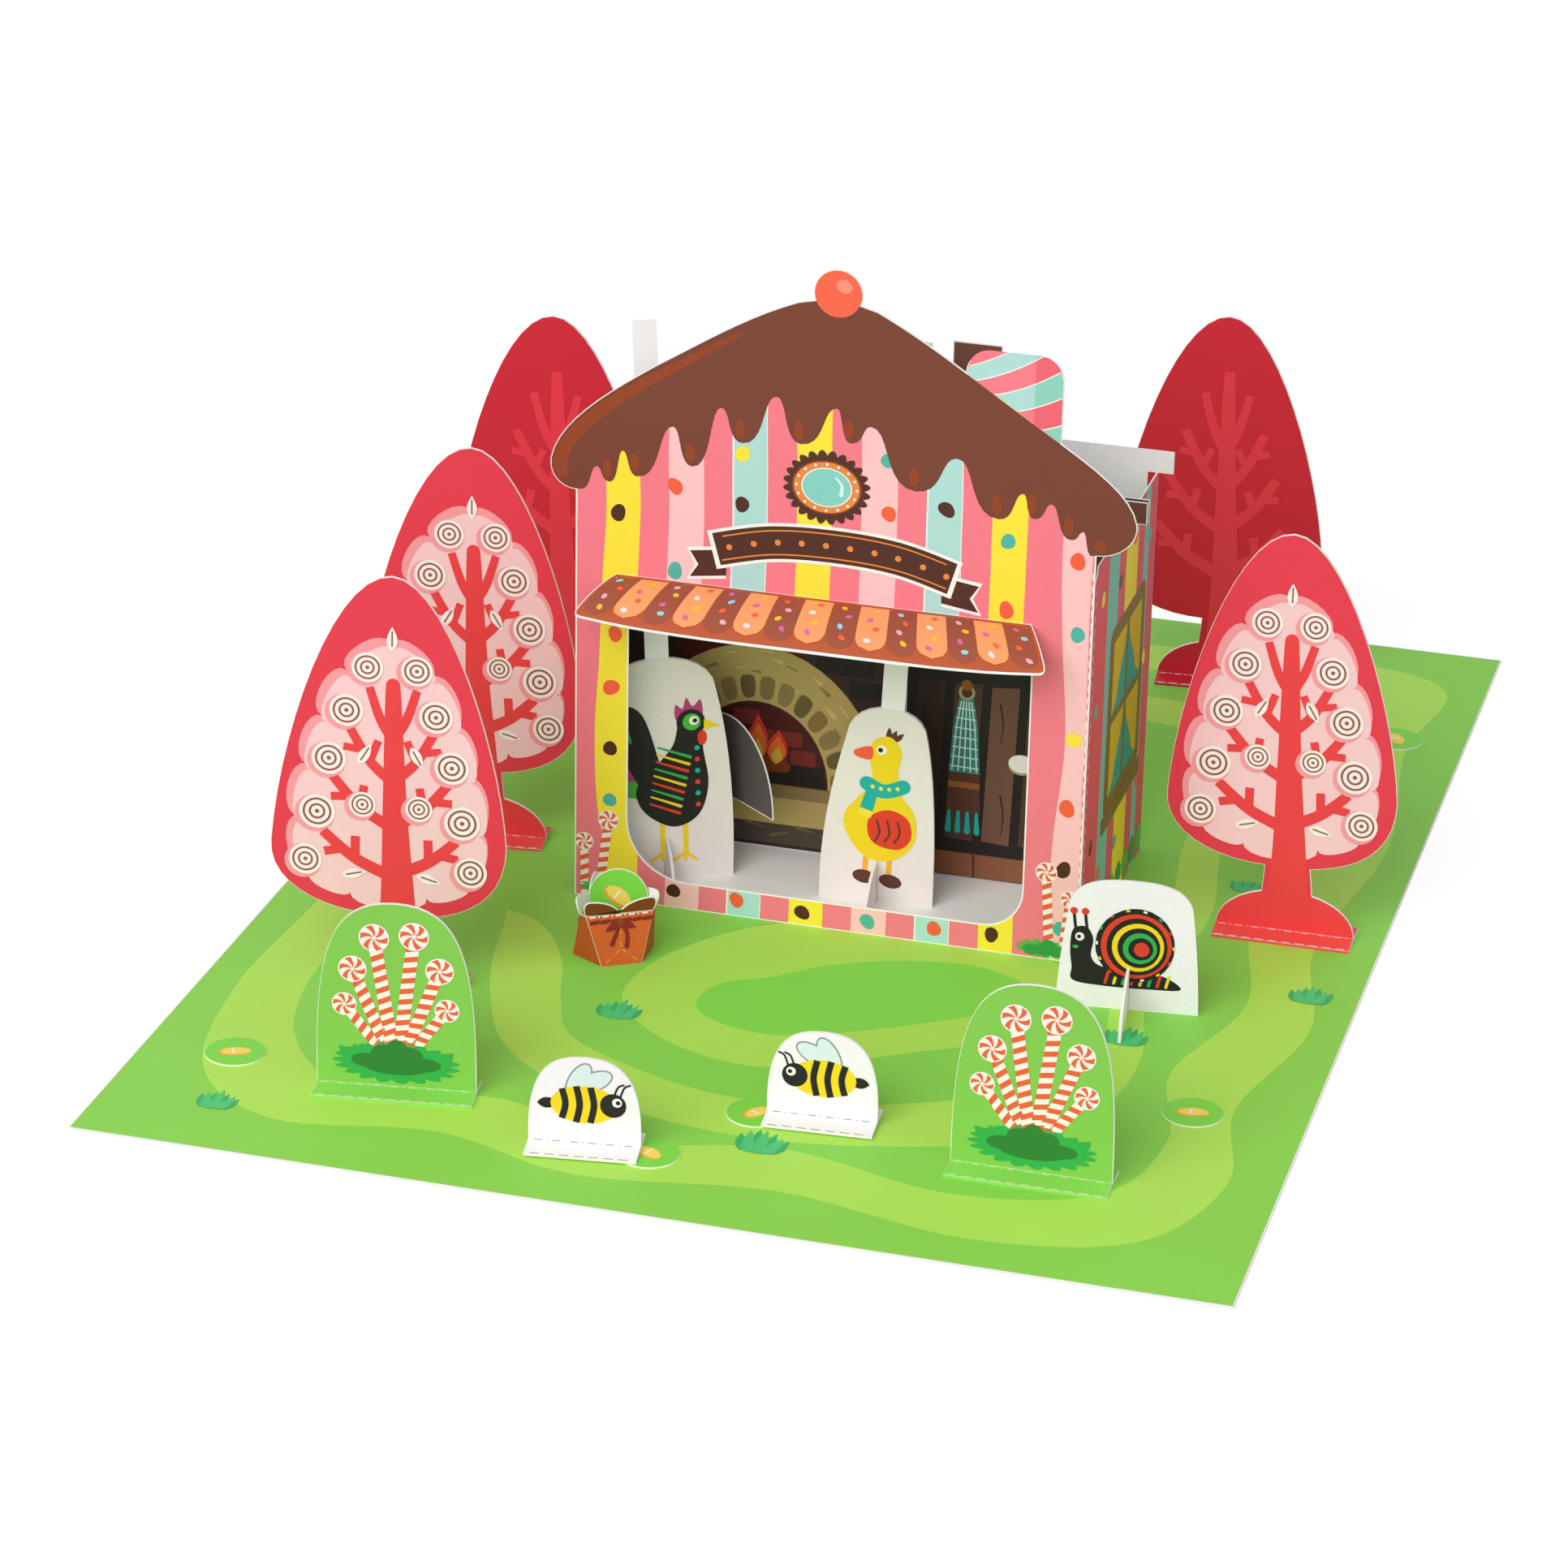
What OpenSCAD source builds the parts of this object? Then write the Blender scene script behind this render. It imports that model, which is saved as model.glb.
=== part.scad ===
// Paper toy theatre on a lawn mat, in millimetres.
// The origin is the middle of the mat's underside. +Z is up and the audience sits at -Y.

/* [Lawn mat] */
// Width of the mat, across the stage
mat_w = 297; // [290:1:360]
// Depth of the mat, from the audience to the back
mat_d = 420; // [410:1:500]
// Thickness of the mat
mat_t = 0.5; // [0.3:0.1:1]

/* [Card] */
// Thickness of one sheet of card
card_t = 0.4; // [0.3:0.05:0.6]
// Free room around pieces that slide or swing past each other
play = 0.3; // [0.2:0.05:0.5]

/* [House] */
// Width over the side walls
house_w = 142; // [136:1:160]
// Depth from the front sheet to the ends of the side walls
house_d = 79; // [74:1:96]
// Height of the side walls
wall_h = 113.5; // [108:0.5:124]
// Middle of the house, sideways
house_x = 0.7; // [-4:0.1:4]
// Middle of the house, front to back
house_y = -0.3; // [-4:0.1:4]
// Size of the hollow cut in the top front corner of each wall
wall_notch = 3.5; // [2:0.5:6]

/* [Roof outline] */
// Height of the ridge above the foot of the house
ridge_h = 180.5; // [172:0.5:192]
// How far the left eave stands out past the wall
eave_left = 7; // [4:0.5:12]
// How far the right eave stands out past the wall
eave_right = 10.4; // [4:0.5:12]
// Radius of the cherry on the ridge
cherry_r = 6.5; // [4:0.5:8]
// Width of the chimney
chimney_w = 26; // [18:1:30]
// Height of the chimney's top above the foot of the house
chimney_h = 171.5; // [166:0.5:178]
// Distance of the chimney's middle from the middle of the house
chimney_x = 47.5; // [40:0.5:52]

/* [Stage window] */
// Width of the window
window_w = 111; // [100:1:116]
// Height of the sill above the foot of the house
sill_h = 8; // [6:0.5:14]
// Height of the window's top above the foot of the house
window_top = 89.5; // [84:0.5:92]
// Middle of the window, from the middle of the house
window_x = -0.5; // [-3:0.1:3]
// Corner radius at the lower left
window_r_left = 17; // [8:0.5:22]
// Corner radius at the lower right
window_r_right = 11; // [8:0.5:22]

/* [Awning] */
// Width where it meets the house
awning_w = 114; // [104:0.5:122]
// Width at the free lip
lip_w = 129.6; // [112:0.1:140]
// How far the lip bows out in its middle
lip_bow = 1.6; // [0:0.1:4]
// Middle of the awning, from the middle of the house
awning_x = -2.5; // [-4:0.1:4]
// How far it stands out
awning_reach = 16.4; // [10:0.1:20]
// How far the lip hangs below the wall edge
awning_drop = 8.8; // [3:0.1:12]
// Height of the wall edge above the window's top
awning_gap = 6.9; // [6.8:0.1:12]
// Height of the end tabs
tab_h = 4.5; // [3:0.5:6]

/* [Scenery cards] */
// Place of the oven backdrop in front of (-) or behind (+) the middle of the house
oven_back = 6; // [2:0.5:14]
// Gap between the oven backdrop and the side scene card in front of it
scene_gap = 2; // [1:0.5:4]
// Distance of the rear card from the rear ends of the walls
rear_inset = 1.4; // [1:0.1:6]
// How far the ears stand out past the walls
ear_out = 4.4; // [3:0.1:8]
// Height of an ear
ear_h = 6.4; // [4:0.1:9]
// Depth of the slots in the wall tops
slot_depth = 2.7; // [1.5:0.1:4]
// Room between the rear card and each wall
rear_room = 2.4; // [1:0.1:5]
// Left edge of the side scene card, from the middle of the house
side_left = 10.6; // [6:0.1:20]
// Width of the side scene card's handle
handle_w = 13.5; // [10:0.5:40]
// Height of the handle's top above the foot of the house
handle_top = 157; // [140:1:175]

/* [Oven] */
// Width of the oven mouth
mouth_w = 41.4; // [36:0.2:41.8]
// Height of the oven mouth
mouth_h = 24.4; // [18:0.2:30]
// Height of the mouth's sill above the foot of the house
mouth_sill = 20.1; // [14:0.1:30]
// Middle of the mouth, from the middle of the house
mouth_x = -32.4; // [-36:0.1:-30]
// How far the fire card reaches past the mouth
fire_rim = 5; // [3:0.5:8]
// Angle at which the door stands open
door_open = 38; // [10:1:38]

/* [Puppets] */
// Width at the foot of the left puppet
left_w = 37.8; // [30:0.2:39]
// Height of the left puppet's card
left_h = 66; // [56:0.5:72]
// Width at the foot of the right puppet
right_w = 31.8; // [28:0.2:38]
// Height of the right puppet's card
right_h = 58; // [50:0.5:70]
// Width of the handle strips
strip_w = 6.5; // [5:0.1:9]
// Height of the handle strips' tops above the stage floor
strip_top = 163; // [150:0.5:175]
// How deep the strips are glued in between the leaves
strip_glue = 30; // [15:1:40]
// Height of the cross feet
fin_h = 12.4; // [9:0.1:15]
// Length of the puppets' cross feet
fin_l = 35; // [24:1:35]

/* [Animal card] */
// Width at the foot
animal_w = 37.9; // [30:0.1:44]
// Height of the card
animal_h = 37.4; // [30:0.2:44]
// Length of its cross foot
animal_fin_l = 41; // [30:1:46]

/* [Folded feet] */
// How far the folded feet reach in front of and behind a card
foot_reach = 7.7; // [6:0.1:9]
// Height of the fold above the lawn
fold_h = 1.2; // [1:0.05:2]

/* [Trees] */
// Height of a tree above its fold
tree_h = 115.1; // [104:0.1:124]
// Width of the crown
crown_w = 62.6; // [52:0.2:64]
// Height of the crown's lower edge above the fold
crown_low = 18.9; // [15:0.1:24]
// Width of the trunk under the crown
trunk_w = 12.4; // [9:0.1:16]
// Width of the rounded base
base_w = 38; // [30:0.5:42]
// Height of the rounded base
base_h = 11.8; // [8:0.1:14]

/* [Bushes and small cards] */
// Width of a bush
bush_w = 41.2; // [34:0.2:44]
// Height of a bush above its fold
bush_h = 51.2; // [42:0.2:58]
// Width of a small card
small_card_w = 28.4; // [22:0.2:32]
// Height of a small card above its fold
small_card_h = 23.4; // [18:0.2:28]

/* [Basket and counters] */
// Radius of the basket's six-cornered bottom
basket_r = 11.2; // [10:0.1:13]
// Height of the folded cup
cup_h = 13.8; // [11:0.1:16]
// Length of the three long rim edges
rim_long = 18.5; // [17:0.1:20]
// Length of the three short rim edges
rim_short = 2.5; // [2:0.1:4]
// Height of the lobed flaps
flap_h = 4.6; // [3:0.1:6]
// Radius of a counter
counter_r = 7.9; // [6.5:0.1:8]

/* [Hidden] */
$fn = 96;

// Where the loose props stand: shares of the mat's width and depth from its middle, and the turn
tree_places = [
    [-0.3299, -0.2571, 9], [-0.3617, -0.0266, 7], [-0.4025, 0.2429, 5],
    [0.2318, 0.3964, 5], [0.4084, -0.0086, 1]
];
bush_places = [[-0.2599, -0.3938, 8.6], [0.2946, -0.3819, 0.4]];
small_card_places = [[-0.0747, -0.4298, 8.2], [0.1027, -0.3538, 4.1]];
animal_place = [0.3037, -0.149, 7];
basket_place = [-0.167, -0.1669, 1.3];
counter_places = [
    [-0.4168, -0.3776], [-0.0199, -0.426], [0.0461, -0.3564], [0.401, -0.2752], [0.4306, 0.3295]
];
// How far each tree's paper leans to the left, in degrees
tree_leans = [-1.4, -0.2, 0.4, 0.2, 0.7];

// Where the puppets stand on the stage: shares of the house's width and depth, and the turn
left_place = [-0.3535, -0.2747, 25];
right_place = [0.0655, -0.2354, 4];

// Levels and planes that several pieces share
lawn_z = mat_t;
floor_z = lawn_z + card_t;
front_y = house_y - house_d / 2;
rear_y = house_y + house_d / 2;
inner_w = house_w - 2 * card_t;
oven_y = house_y + oven_back;
side_y = oven_y - scene_gap - card_t;
rear_card_y = rear_y - rear_inset - card_t;
slot_floor = wall_h - slot_depth;
awning_h = window_top + awning_gap;
card_foot = card_t + play;
fold_cut = 1;
hinge_x = mouth_x - mouth_w / 2 + fold_cut;
sheet_pair = 2 * card_t;
puppet_t = 3 * card_t;
door_t = card_t * 0.75;
fit = play / 3;
small_card_lift = card_t + fit;

// Cubic curve through its two end points, without the last one
function curve(a, b, c, d, n = 10) = [
    for (i = [0 : n - 1])
        let (t = i / n, s = 1 - t)
        s * s * s * a + 3 * s * s * t * b + 3 * s * t * t * c + t * t * t * d
];

// Points on a circle's arc
function arc(centre, r, from, to, n = 8) = [
    for (i = [0 : n]) let (a = from + (to - from) * i / n) centre + r * [cos(a), sin(a)]
];

// Upper half of an ellipse that stands on the X axis
function dome(half_w, h, n = 24) = [for (i = [0 : n]) [half_w * cos(180 * i / n), h * sin(180 * i / n)]];

function flip(points) = [for (p = points) [-p.x, p.y]];
function backwards(points) = [for (i = [len(points) - 1 : -1 : 0]) points[i]];
function rest(points) = [for (i = [1 : len(points) - 1]) points[i]];

// A sheet that stands up: the outline's Y becomes height and its front face lies at Y = 0
module standing(t) {
    translate([0, t, 0]) rotate([90, 0, 0]) linear_extrude(t) children();
}

// A sheet across X: the outline's X becomes depth and its Y becomes height
module crossways(t) {
    rotate([90, 0, 90]) linear_extrude(t, center = true) children();
}

module on_lawn(place) {
    translate([place[0] * mat_w, place[1] * mat_d, lawn_z]) rotate([0, 0, place[2]]) children();
}

module in_house(y, z) {
    translate([house_x, y, z]) children();
}

module lawn_mat() {
    color("yellowgreen") translate([-mat_w / 2, -mat_d / 2, 0]) cube([mat_w, mat_d, mat_t]);
}

// One eave and the slope above it, from the wall up to the ridge; sag lowers the middle of the slope
function eave(out, rise, sag) = let (
    edge = house_w / 2,
    tip = edge + out,
    foot = wall_h + rise,
    tip_h = wall_h + 14,
    mid = [edge - 22, ridge_h - 24 - sag]
) concat(
    curve([edge, foot], [edge + out * 0.6, foot], [tip + 0.8, tip_h - 5], [tip, tip_h]),
    curve([tip, tip_h], [tip - 2, tip_h + 10], mid + [15, -10], mid),
    curve(mid, mid + [-16, 10], [22, ridge_h - 6 - sag], [6, ridge_h - 0.6])
);

module front_outline() {
    half = house_w / 2;
    polygon(concat(
        [[-half, 0], [half, 0]], eave(eave_right, 4.2, 1.7),
        [[0, ridge_h]], backwards(flip(eave(eave_left, 5.6, 0)))
    ));
    translate([0, ridge_h + 1]) circle(cherry_r);
    chimney_outline();
}

module chimney_outline() {
    left = chimney_x - chimney_w / 2;
    right = chimney_x + chimney_w / 2;
    corner = chimney_w / 4;
    foot = wall_h + 26;
    polygon(concat(
        [[left, foot], [right, foot]],
        arc([right - corner, chimney_h - corner - 1], corner, 0, 78),
        arc([left + corner, chimney_h - corner - 1], corner, 98, 180)
    ));
}

module window_outline() {
    half = window_w / 2;
    top_r = 3;
    translate([window_x, 0]) polygon(concat(
        arc([-half + window_r_left, sill_h + window_r_left], window_r_left, 180, 270),
        arc([half - window_r_right, sill_h + window_r_right], window_r_right, 270, 360),
        arc([half - top_r, window_top - top_r], top_r, 0, 90),
        arc([-half + top_r, window_top - top_r], top_r, 90, 180)
    ));
}

// Middle line of the slits and tabs that hold the awning, from the middle of the house
tab_x = awning_w / 2 - card_t - play;

module slit_outline() {
    slit_w = card_t + 2 * fit;
    for (side = [-1, 1])
        translate([awning_x + side * tab_x - slit_w / 2, awning_h - card_t - tab_h - fit])
            square([slit_w, tab_h + 2 * fit]);
}

module house_front() {
    color("lightcoral") in_house(front_y, lawn_z) standing(card_t) difference() {
        front_outline();
        window_outline();
        slit_outline();
    }
}

// Slot for a scenery card's ear, in the outline of a wall
module ear_slot(y) {
    translate([y - play, slot_floor]) square([card_t + 2 * play, slot_depth + 1]);
}

module wall(side) {
    front = front_y + card_t;
    color("palevioletred") translate([house_x + side * (house_w - card_t) / 2, 0, lawn_z]) crossways(card_t)
        difference() {
            translate([front, 0]) square([rear_y - front, wall_h]);
            translate([front, wall_h]) circle(wall_notch);
            ear_slot(oven_y);
            ear_slot(side_y);
        }
}

module house_left_wall() {
    wall(-1);
}

module house_right_wall() {
    wall(1);
}

module house_floor() {
    front = front_y + card_t;
    color("gainsboro") in_house(front, lawn_z) translate([-inner_w / 2, 0, 0])
        cube([inner_w, rear_y - front, card_t]);
}

// Side view of the awning: a strip that bows outward on its way down
module awning_profile() {
    lip = [-awning_reach, -awning_drop];
    top = concat(curve([0, 0], [-5, -0.5], lip + [4, 4.5], lip, 12), [lip, lip + [-0.9, -1]]);
    polygon(concat(top, backwards([for (p = top) p - [0, card_t]])));
}

// Depth of the lip at a distance from the awning's middle, as a share of half its width
function lip_at(share) = -awning_reach + lip_bow * share * share * share * share;

// Top view of the awning: wider at the lip, which bows outward and has small round corners
module awning_plan() {
    half = lip_w / 2;
    tip = [half, lip_at(1)];
    slant = [awning_w / 2, 0] - tip;
    side = concat(
        [[awning_w / 2, 1], [awning_w / 2, 0]],
        curve(
            tip + 0.12 * slant, tip + 0.04 * slant,
            [half * 0.99, lip_at(0.99)], [half * 0.965, lip_at(0.965)], 4
        ),
        [for (i = [0 : 8]) let (share = 0.965 * (1 - i / 9)) [half * share, lip_at(share)]]
    );
    polygon(concat(side, backwards(flip(side))));
}

module awning() {
    color("saddlebrown") in_house(front_y, lawn_z + awning_h) translate([awning_x, 0, 0]) {
        intersection() {
            crossways(lip_w + 2) awning_profile();
            translate([0, 0, -awning_drop - 2]) linear_extrude(awning_drop + 4) awning_plan();
        }
        for (side = [-1, 1])
            translate([side * tab_x, 0, -card_t - tab_h]) crossways(card_t)
                polygon([[-4, tab_h - 0.6], [0, 0], [5, 1], [5, tab_h], [0, tab_h], [-2, tab_h + 0.2]]);
    }
}

// Ears that hang a card from the wall tops: a bar across the house, from one height up
module ear_bar(low, from, to) {
    translate([from, low]) square([to - from, ear_h]);
}

// Half an ellipse with a straight left side, which is the fold line of the door
function mouth_points(shrink) = let (
    half = mouth_w / 2 - shrink,
    fold = half - fold_cut,
    end = 180 - acos(fold / half)
) concat(
    [for (i = [0 : 20]) [half * cos(end * i / 20), (mouth_h - shrink) * sin(end * i / 20)]],
    [[-fold, 0]]
);

module oven_backdrop() {
    half = inner_w / 2 - play;
    reach = house_w / 2 + ear_out;
    color("dimgray") in_house(oven_y, lawn_z) standing(card_t) difference() {
        union() {
            translate([-half, card_foot]) square([2 * half, slot_floor + play - card_foot + ear_h]);
            ear_bar(slot_floor + play, -reach, reach);
        }
        translate([mouth_x, mouth_sill]) polygon(mouth_points(0));
    }
}

module oven_fire_card() {
    color("firebrick") in_house(oven_y + card_t, lawn_z) standing(card_t)
        translate([mouth_x - mouth_w / 2 - fire_rim, mouth_sill - fire_rim])
            square([mouth_w + 2 * fire_rim, mouth_h + 2 * fire_rim]);
}

module oven_door() {
    color("slategray") in_house(oven_y, lawn_z) translate([hinge_x, 0, mouth_sill]) rotate([0, 0, -door_open])
        standing(door_t) translate([mouth_w / 2 - fold_cut, play]) polygon(mouth_points(play));
}

module side_scene_card() {
    right = inner_w / 2 - play;
    reach = house_w / 2 + ear_out;
    ear_low = slot_floor + play;
    handle_left = side_left + 10;
    color("saddlebrown") in_house(side_y, lawn_z) standing(card_t) {
        translate([side_left, card_foot]) square([right - side_left, ear_low + ear_h - card_foot]);
        ear_bar(ear_low, side_left, reach);
        translate([handle_left, ear_low]) square([handle_w, handle_top - ear_low]);
    }
}

module rear_card() {
    half = inner_w / 2 - rear_room;
    reach = house_w / 2 + ear_out;
    color("white") in_house(rear_card_y, lawn_z) standing(card_t) {
        translate([-half, card_foot]) square([2 * half, wall_h + ear_h - card_foot]);
        ear_bar(wall_h, -reach, reach);
    }
}

// Puppet card: a foot, sides that draw in, and a round head; shift moves the head sideways
module puppet_outline(w, h, head_w, shift) {
    foot = w / 2;
    head = head_w / 2;
    shoulder = h * 0.9;
    polygon(concat(
        [[-foot, 0], [foot, 0]],
        curve([foot, 0], [foot * 1.02, h * 0.43], [shift + head * 1.24, h * 0.72], [shift + head, shoulder]),
        curve([shift + head, shoulder], [shift + head * 0.72, h * 1.033], [shift - head * 0.72, h * 1.033],
            [shift - head, shoulder]),
        curve([shift - head, shoulder], [shift - head * 1.24, h * 0.72], [-foot * 1.02, h * 0.43], [-foot, 0])
    ));
}

// Slit at the foot of a card that takes the cross foot
module foot_slit() {
    translate([-card_t - fit, -1]) square([sheet_pair + 2 * fit, fin_h / 2 + 1 + fit]);
}

module puppet_leaf(w, h, head_w, shift) {
    standing(card_t) difference() {
        puppet_outline(w, h, head_w, shift);
        foot_slit();
    }
}

// Cross foot of doubled card, slit from above for the card that stands in it
module cross_foot(l, card_pair) {
    color("white") crossways(sheet_pair) difference() {
        polygon(dome(l / 2, fin_h));
        translate([-card_pair / 2 - fit, fin_h / 2 - fit]) square([card_pair + 2 * fit, fin_h]);
    }
}

module on_stage(place) {
    translate([house_x + place[0] * house_w, house_y + place[1] * house_d, floor_z])
        rotate([0, 0, place[2]]) children();
}

// Handle strip that leans sideways from its glued end to its top
module puppet_strip(h, low_x, top_x) {
    low = h - strip_glue;
    color("white") standing(card_t) polygon([
        [low_x - strip_w / 2, low], [low_x + strip_w / 2, low],
        [top_x + strip_w / 2, strip_top], [top_x - strip_w / 2, strip_top]
    ]);
}

left_head_w = left_w * 0.75;
left_shift = -1.8;
left_strip_top = -7.4;
right_head_w = right_w * 0.66;
right_shift = 2;
right_strip_top = 7.7;

module left_puppet_front() {
    color("whitesmoke") on_stage(left_place) translate([0, -puppet_t / 2, 0])
        puppet_leaf(left_w, left_h, left_head_w, left_shift);
}

module left_puppet_back() {
    color("whitesmoke") on_stage(left_place) translate([0, card_t / 2, 0])
        puppet_leaf(left_w, left_h, left_head_w, left_shift);
}

module left_puppet_strip() {
    on_stage(left_place) translate([0, -card_t / 2, 0]) puppet_strip(left_h, left_shift, left_strip_top);
}

module left_puppet_foot() {
    on_stage(left_place) cross_foot(fin_l, puppet_t);
}

module right_puppet_front() {
    color("whitesmoke") on_stage(right_place) translate([0, -puppet_t / 2, 0])
        puppet_leaf(right_w, right_h, right_head_w, right_shift);
}

module right_puppet_back() {
    color("whitesmoke") on_stage(right_place) translate([0, card_t / 2, 0])
        puppet_leaf(right_w, right_h, right_head_w, right_shift);
}

module right_puppet_strip() {
    on_stage(right_place) translate([0, -card_t / 2, 0]) puppet_strip(right_h, right_shift, right_strip_top);
}

module right_puppet_foot() {
    on_stage(right_place) cross_foot(fin_l, puppet_t);
}

// Arched card with slightly drawn-in sides and a flat crown
module animal_outline() {
    foot = animal_w / 2;
    top = foot * 0.86;
    polygon(concat(
        [[-foot, 0], [foot, 0]],
        curve([foot, 0], [foot * 0.97, animal_h * 0.4], [top * 1.04, animal_h * 0.66], [top, animal_h * 0.8]),
        curve([top, animal_h * 0.8], [top * 0.91, animal_h * 0.97], [top * 0.5, animal_h], [0, animal_h]),
        curve([0, animal_h], [-top * 0.5, animal_h], [-top * 0.91, animal_h * 0.97], [-top, animal_h * 0.8]),
        curve(
            [-top, animal_h * 0.8], [-top * 1.04, animal_h * 0.66],
            [-foot * 0.97, animal_h * 0.4], [-foot, 0]
        )
    ));
}

module animal_leaf() {
    color("whitesmoke") standing(card_t) difference() {
        animal_outline();
        foot_slit();
    }
}

module animal_front() {
    on_lawn(animal_place) translate([0, -card_t, 0]) animal_leaf();
}

module animal_back() {
    on_lawn(animal_place) animal_leaf();
}

module animal_foot() {
    on_lawn(animal_place) cross_foot(animal_fin_l, sheet_pair);
}

// Folded foot: a flat panel below and two flaps that rise to the fold under the card
module folded_foot(w) {
    inside = foot_reach - 3 * card_t;
    crossways(w) difference() {
        polygon([
            [-foot_reach, 0], [foot_reach, 0], [foot_reach, sheet_pair], [card_t, fold_h],
            [-card_t, fold_h], [-foot_reach, sheet_pair]
        ]);
        polygon([[-inside, card_t], [inside, card_t], [0, fold_h - card_t * 0.9]]);
    }
}

function turned(points, a) = [for (p = points) [p.x * cos(a) - p.y * sin(a), p.x * sin(a) + p.y * cos(a)]];

// Crown of a tree: an egg that leans to the left, from the trunk's right edge around to its left edge
function crown_points() = let (
    left = -crown_w * 0.54,
    right = crown_w * 0.46,
    wide = tree_h * 0.333,
    neck = trunk_w / 2,
    top = [-crown_w * 0.04, tree_h]
) concat(
    curve(
        [neck, crown_low], [right * 0.65, crown_low * 1.08],
        [right, crown_low * 1.38], [right, wide * 1.07]
    ),
    curve([right, wide * 1.07], [right * 0.94, tree_h * 0.575], [right * 0.42, tree_h], top, 14),
    curve(top, [left * 0.53, tree_h], [left * 0.94, tree_h * 0.595], [left, wide], 14),
    curve([left, wide], [left * 1.03, crown_low * 1.38], [left * 0.63, crown_low * 1.02], [-neck, crown_low]),
    [[-neck, crown_low]]
);

// Right half of the round base, from the lawn up to the trunk's foot
function base_points() = let (
    half = base_w / 2,
    trunk_foot = trunk_w * 0.56,
    end = acos(trunk_foot / half)
) [for (i = [0 : 10]) [half * cos(end * i / 10), base_h * sin(end * i / 10)]];

module tree_outline(lean) {
    polygon(concat(base_points(), turned(crown_points(), lean), backwards(flip(base_points()))));
}

module bush_outline() {
    half = bush_w / 2;
    polygon(concat(
        [[-half, 0], [half, 0]],
        curve([half, 0], [half * 1.01, bush_h * 0.72], [half * 0.83, bush_h], [0, bush_h], 16),
        curve([0, bush_h], [-half * 0.83, bush_h], [-half * 1.01, bush_h * 0.72], [-half, 0], 16)
    ));
}

module small_card_outline() {
    half = small_card_w / 2;
    top = small_card_h;
    polygon(concat(
        [[-half, 0], [half, 0]],
        curve([half, 0], [half * 1.04, top * 0.75], [half * 0.72, top], [0, top], 14),
        curve([0, top], [-half * 0.72, top], [-half * 1.04, top * 0.75], [-half, 0], 14)
    ));
}

module front_leaf() {
    translate([0, -card_t, fold_h]) standing(card_t) children();
}

module back_leaf() {
    translate([0, 0, fold_h]) standing(card_t) children();
}

// The two trees at the back are a darker red
function tree_colour(i) = (i == 2 || i == 3) ? "firebrick" : "crimson";

module tree_front(i) {
    color(tree_colour(i)) on_lawn(tree_places[i]) front_leaf() tree_outline(tree_leans[i]);
}

module tree_back(i) {
    color(tree_colour(i)) on_lawn(tree_places[i]) back_leaf() tree_outline(tree_leans[i]);
}

module tree_foot(i) {
    color(tree_colour(i)) on_lawn(tree_places[i]) folded_foot(base_w);
}

module bush_front(i) {
    color("limegreen") on_lawn(bush_places[i]) front_leaf() bush_outline();
}

module bush_back(i) {
    color("limegreen") on_lawn(bush_places[i]) back_leaf() bush_outline();
}

module bush_foot(i) {
    color("limegreen") on_lawn(bush_places[i]) folded_foot(bush_w);
}

// The small cards' feet stand on the counters that are tucked under them
module small_card_front(i) {
    color("white") on_lawn(small_card_places[i]) translate([0, 0, small_card_lift])
        front_leaf() small_card_outline();
}

module small_card_back(i) {
    color("white") on_lawn(small_card_places[i]) translate([0, 0, small_card_lift])
        back_leaf() small_card_outline();
}

module small_card_foot(i) {
    color("white") on_lawn(small_card_places[i]) translate([0, 0, small_card_lift])
        folded_foot(small_card_w);
}

// Corners of a ring with three long and three short edges; side(1) of them faces right
function six_corners(long, short) = let (
    long_apothem = (long + 2 * short) / (2 * sqrt(3)),
    turn = -60
) [
    for (k = [0 : 2], end = [-1, 1])
        let (a = turn + 120 * k)
        long_apothem * [cos(a), sin(a)] + end * long / 2 * [-sin(a), cos(a)]
];

module cup_form(inset, low, high) {
    at_low = low / cup_h;
    grow = basket_r - inset * 2 / sqrt(3);
    shrink = inset * 2 / sqrt(3);
    hull() {
        translate([0, 0, low]) linear_extrude(0.02) polygon(six_corners(grow, grow));
        translate([0, 0, high - 0.02]) linear_extrude(0.02)
            polygon(six_corners(rim_long - shrink, rim_short - shrink / 2));
    }
}

module basket_cup() {
    color("chocolate") on_lawn(basket_place) difference() {
        cup_form(0, 0, cup_h);
        cup_form(card_t, card_t, cup_h + 0.02);
    }
}

// One flap: two round lobes with a notch between them
module flap_outline() {
    half = rim_long / 2;
    lobe = concat(
        curve([0, 0.4], [1.5, flap_h * 0.75], [half * 0.6, flap_h], [half * 0.9, flap_h], 8),
        curve([half * 0.9, flap_h], [half * 1.1, flap_h], [half * 1.12, flap_h * 0.5], [half, 0], 8)
    );
    polygon(concat(lobe, [[half, 0]], backwards(flip(concat(lobe, [[half, 0]])))));
}

rim_apothem = (rim_long + 2 * rim_short) / (2 * sqrt(3));
flap_lean = 14;

module basket_flaps() {
    color("sienna") on_lawn(basket_place) for (k = [0 : 2])
        rotate([0, 0, 30 + 120 * k]) translate([0, -rim_apothem, cup_h + card_t * sin(flap_lean)])
            rotate([flap_lean, 0, 0]) standing(card_t) flap_outline();
}

// The counter in the basket is wedged between the rim's edges and faces the audience
counter_turn = 14;
counter_rise = cup_h + 2.4;
counter_side = 1.3;

module basket_counter() {
    color("greenyellow") on_lawn(basket_place) rotate([0, 0, counter_turn])
        translate([counter_side, -card_t / 2, counter_rise])
        standing(card_t) circle(counter_r);
}

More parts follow.
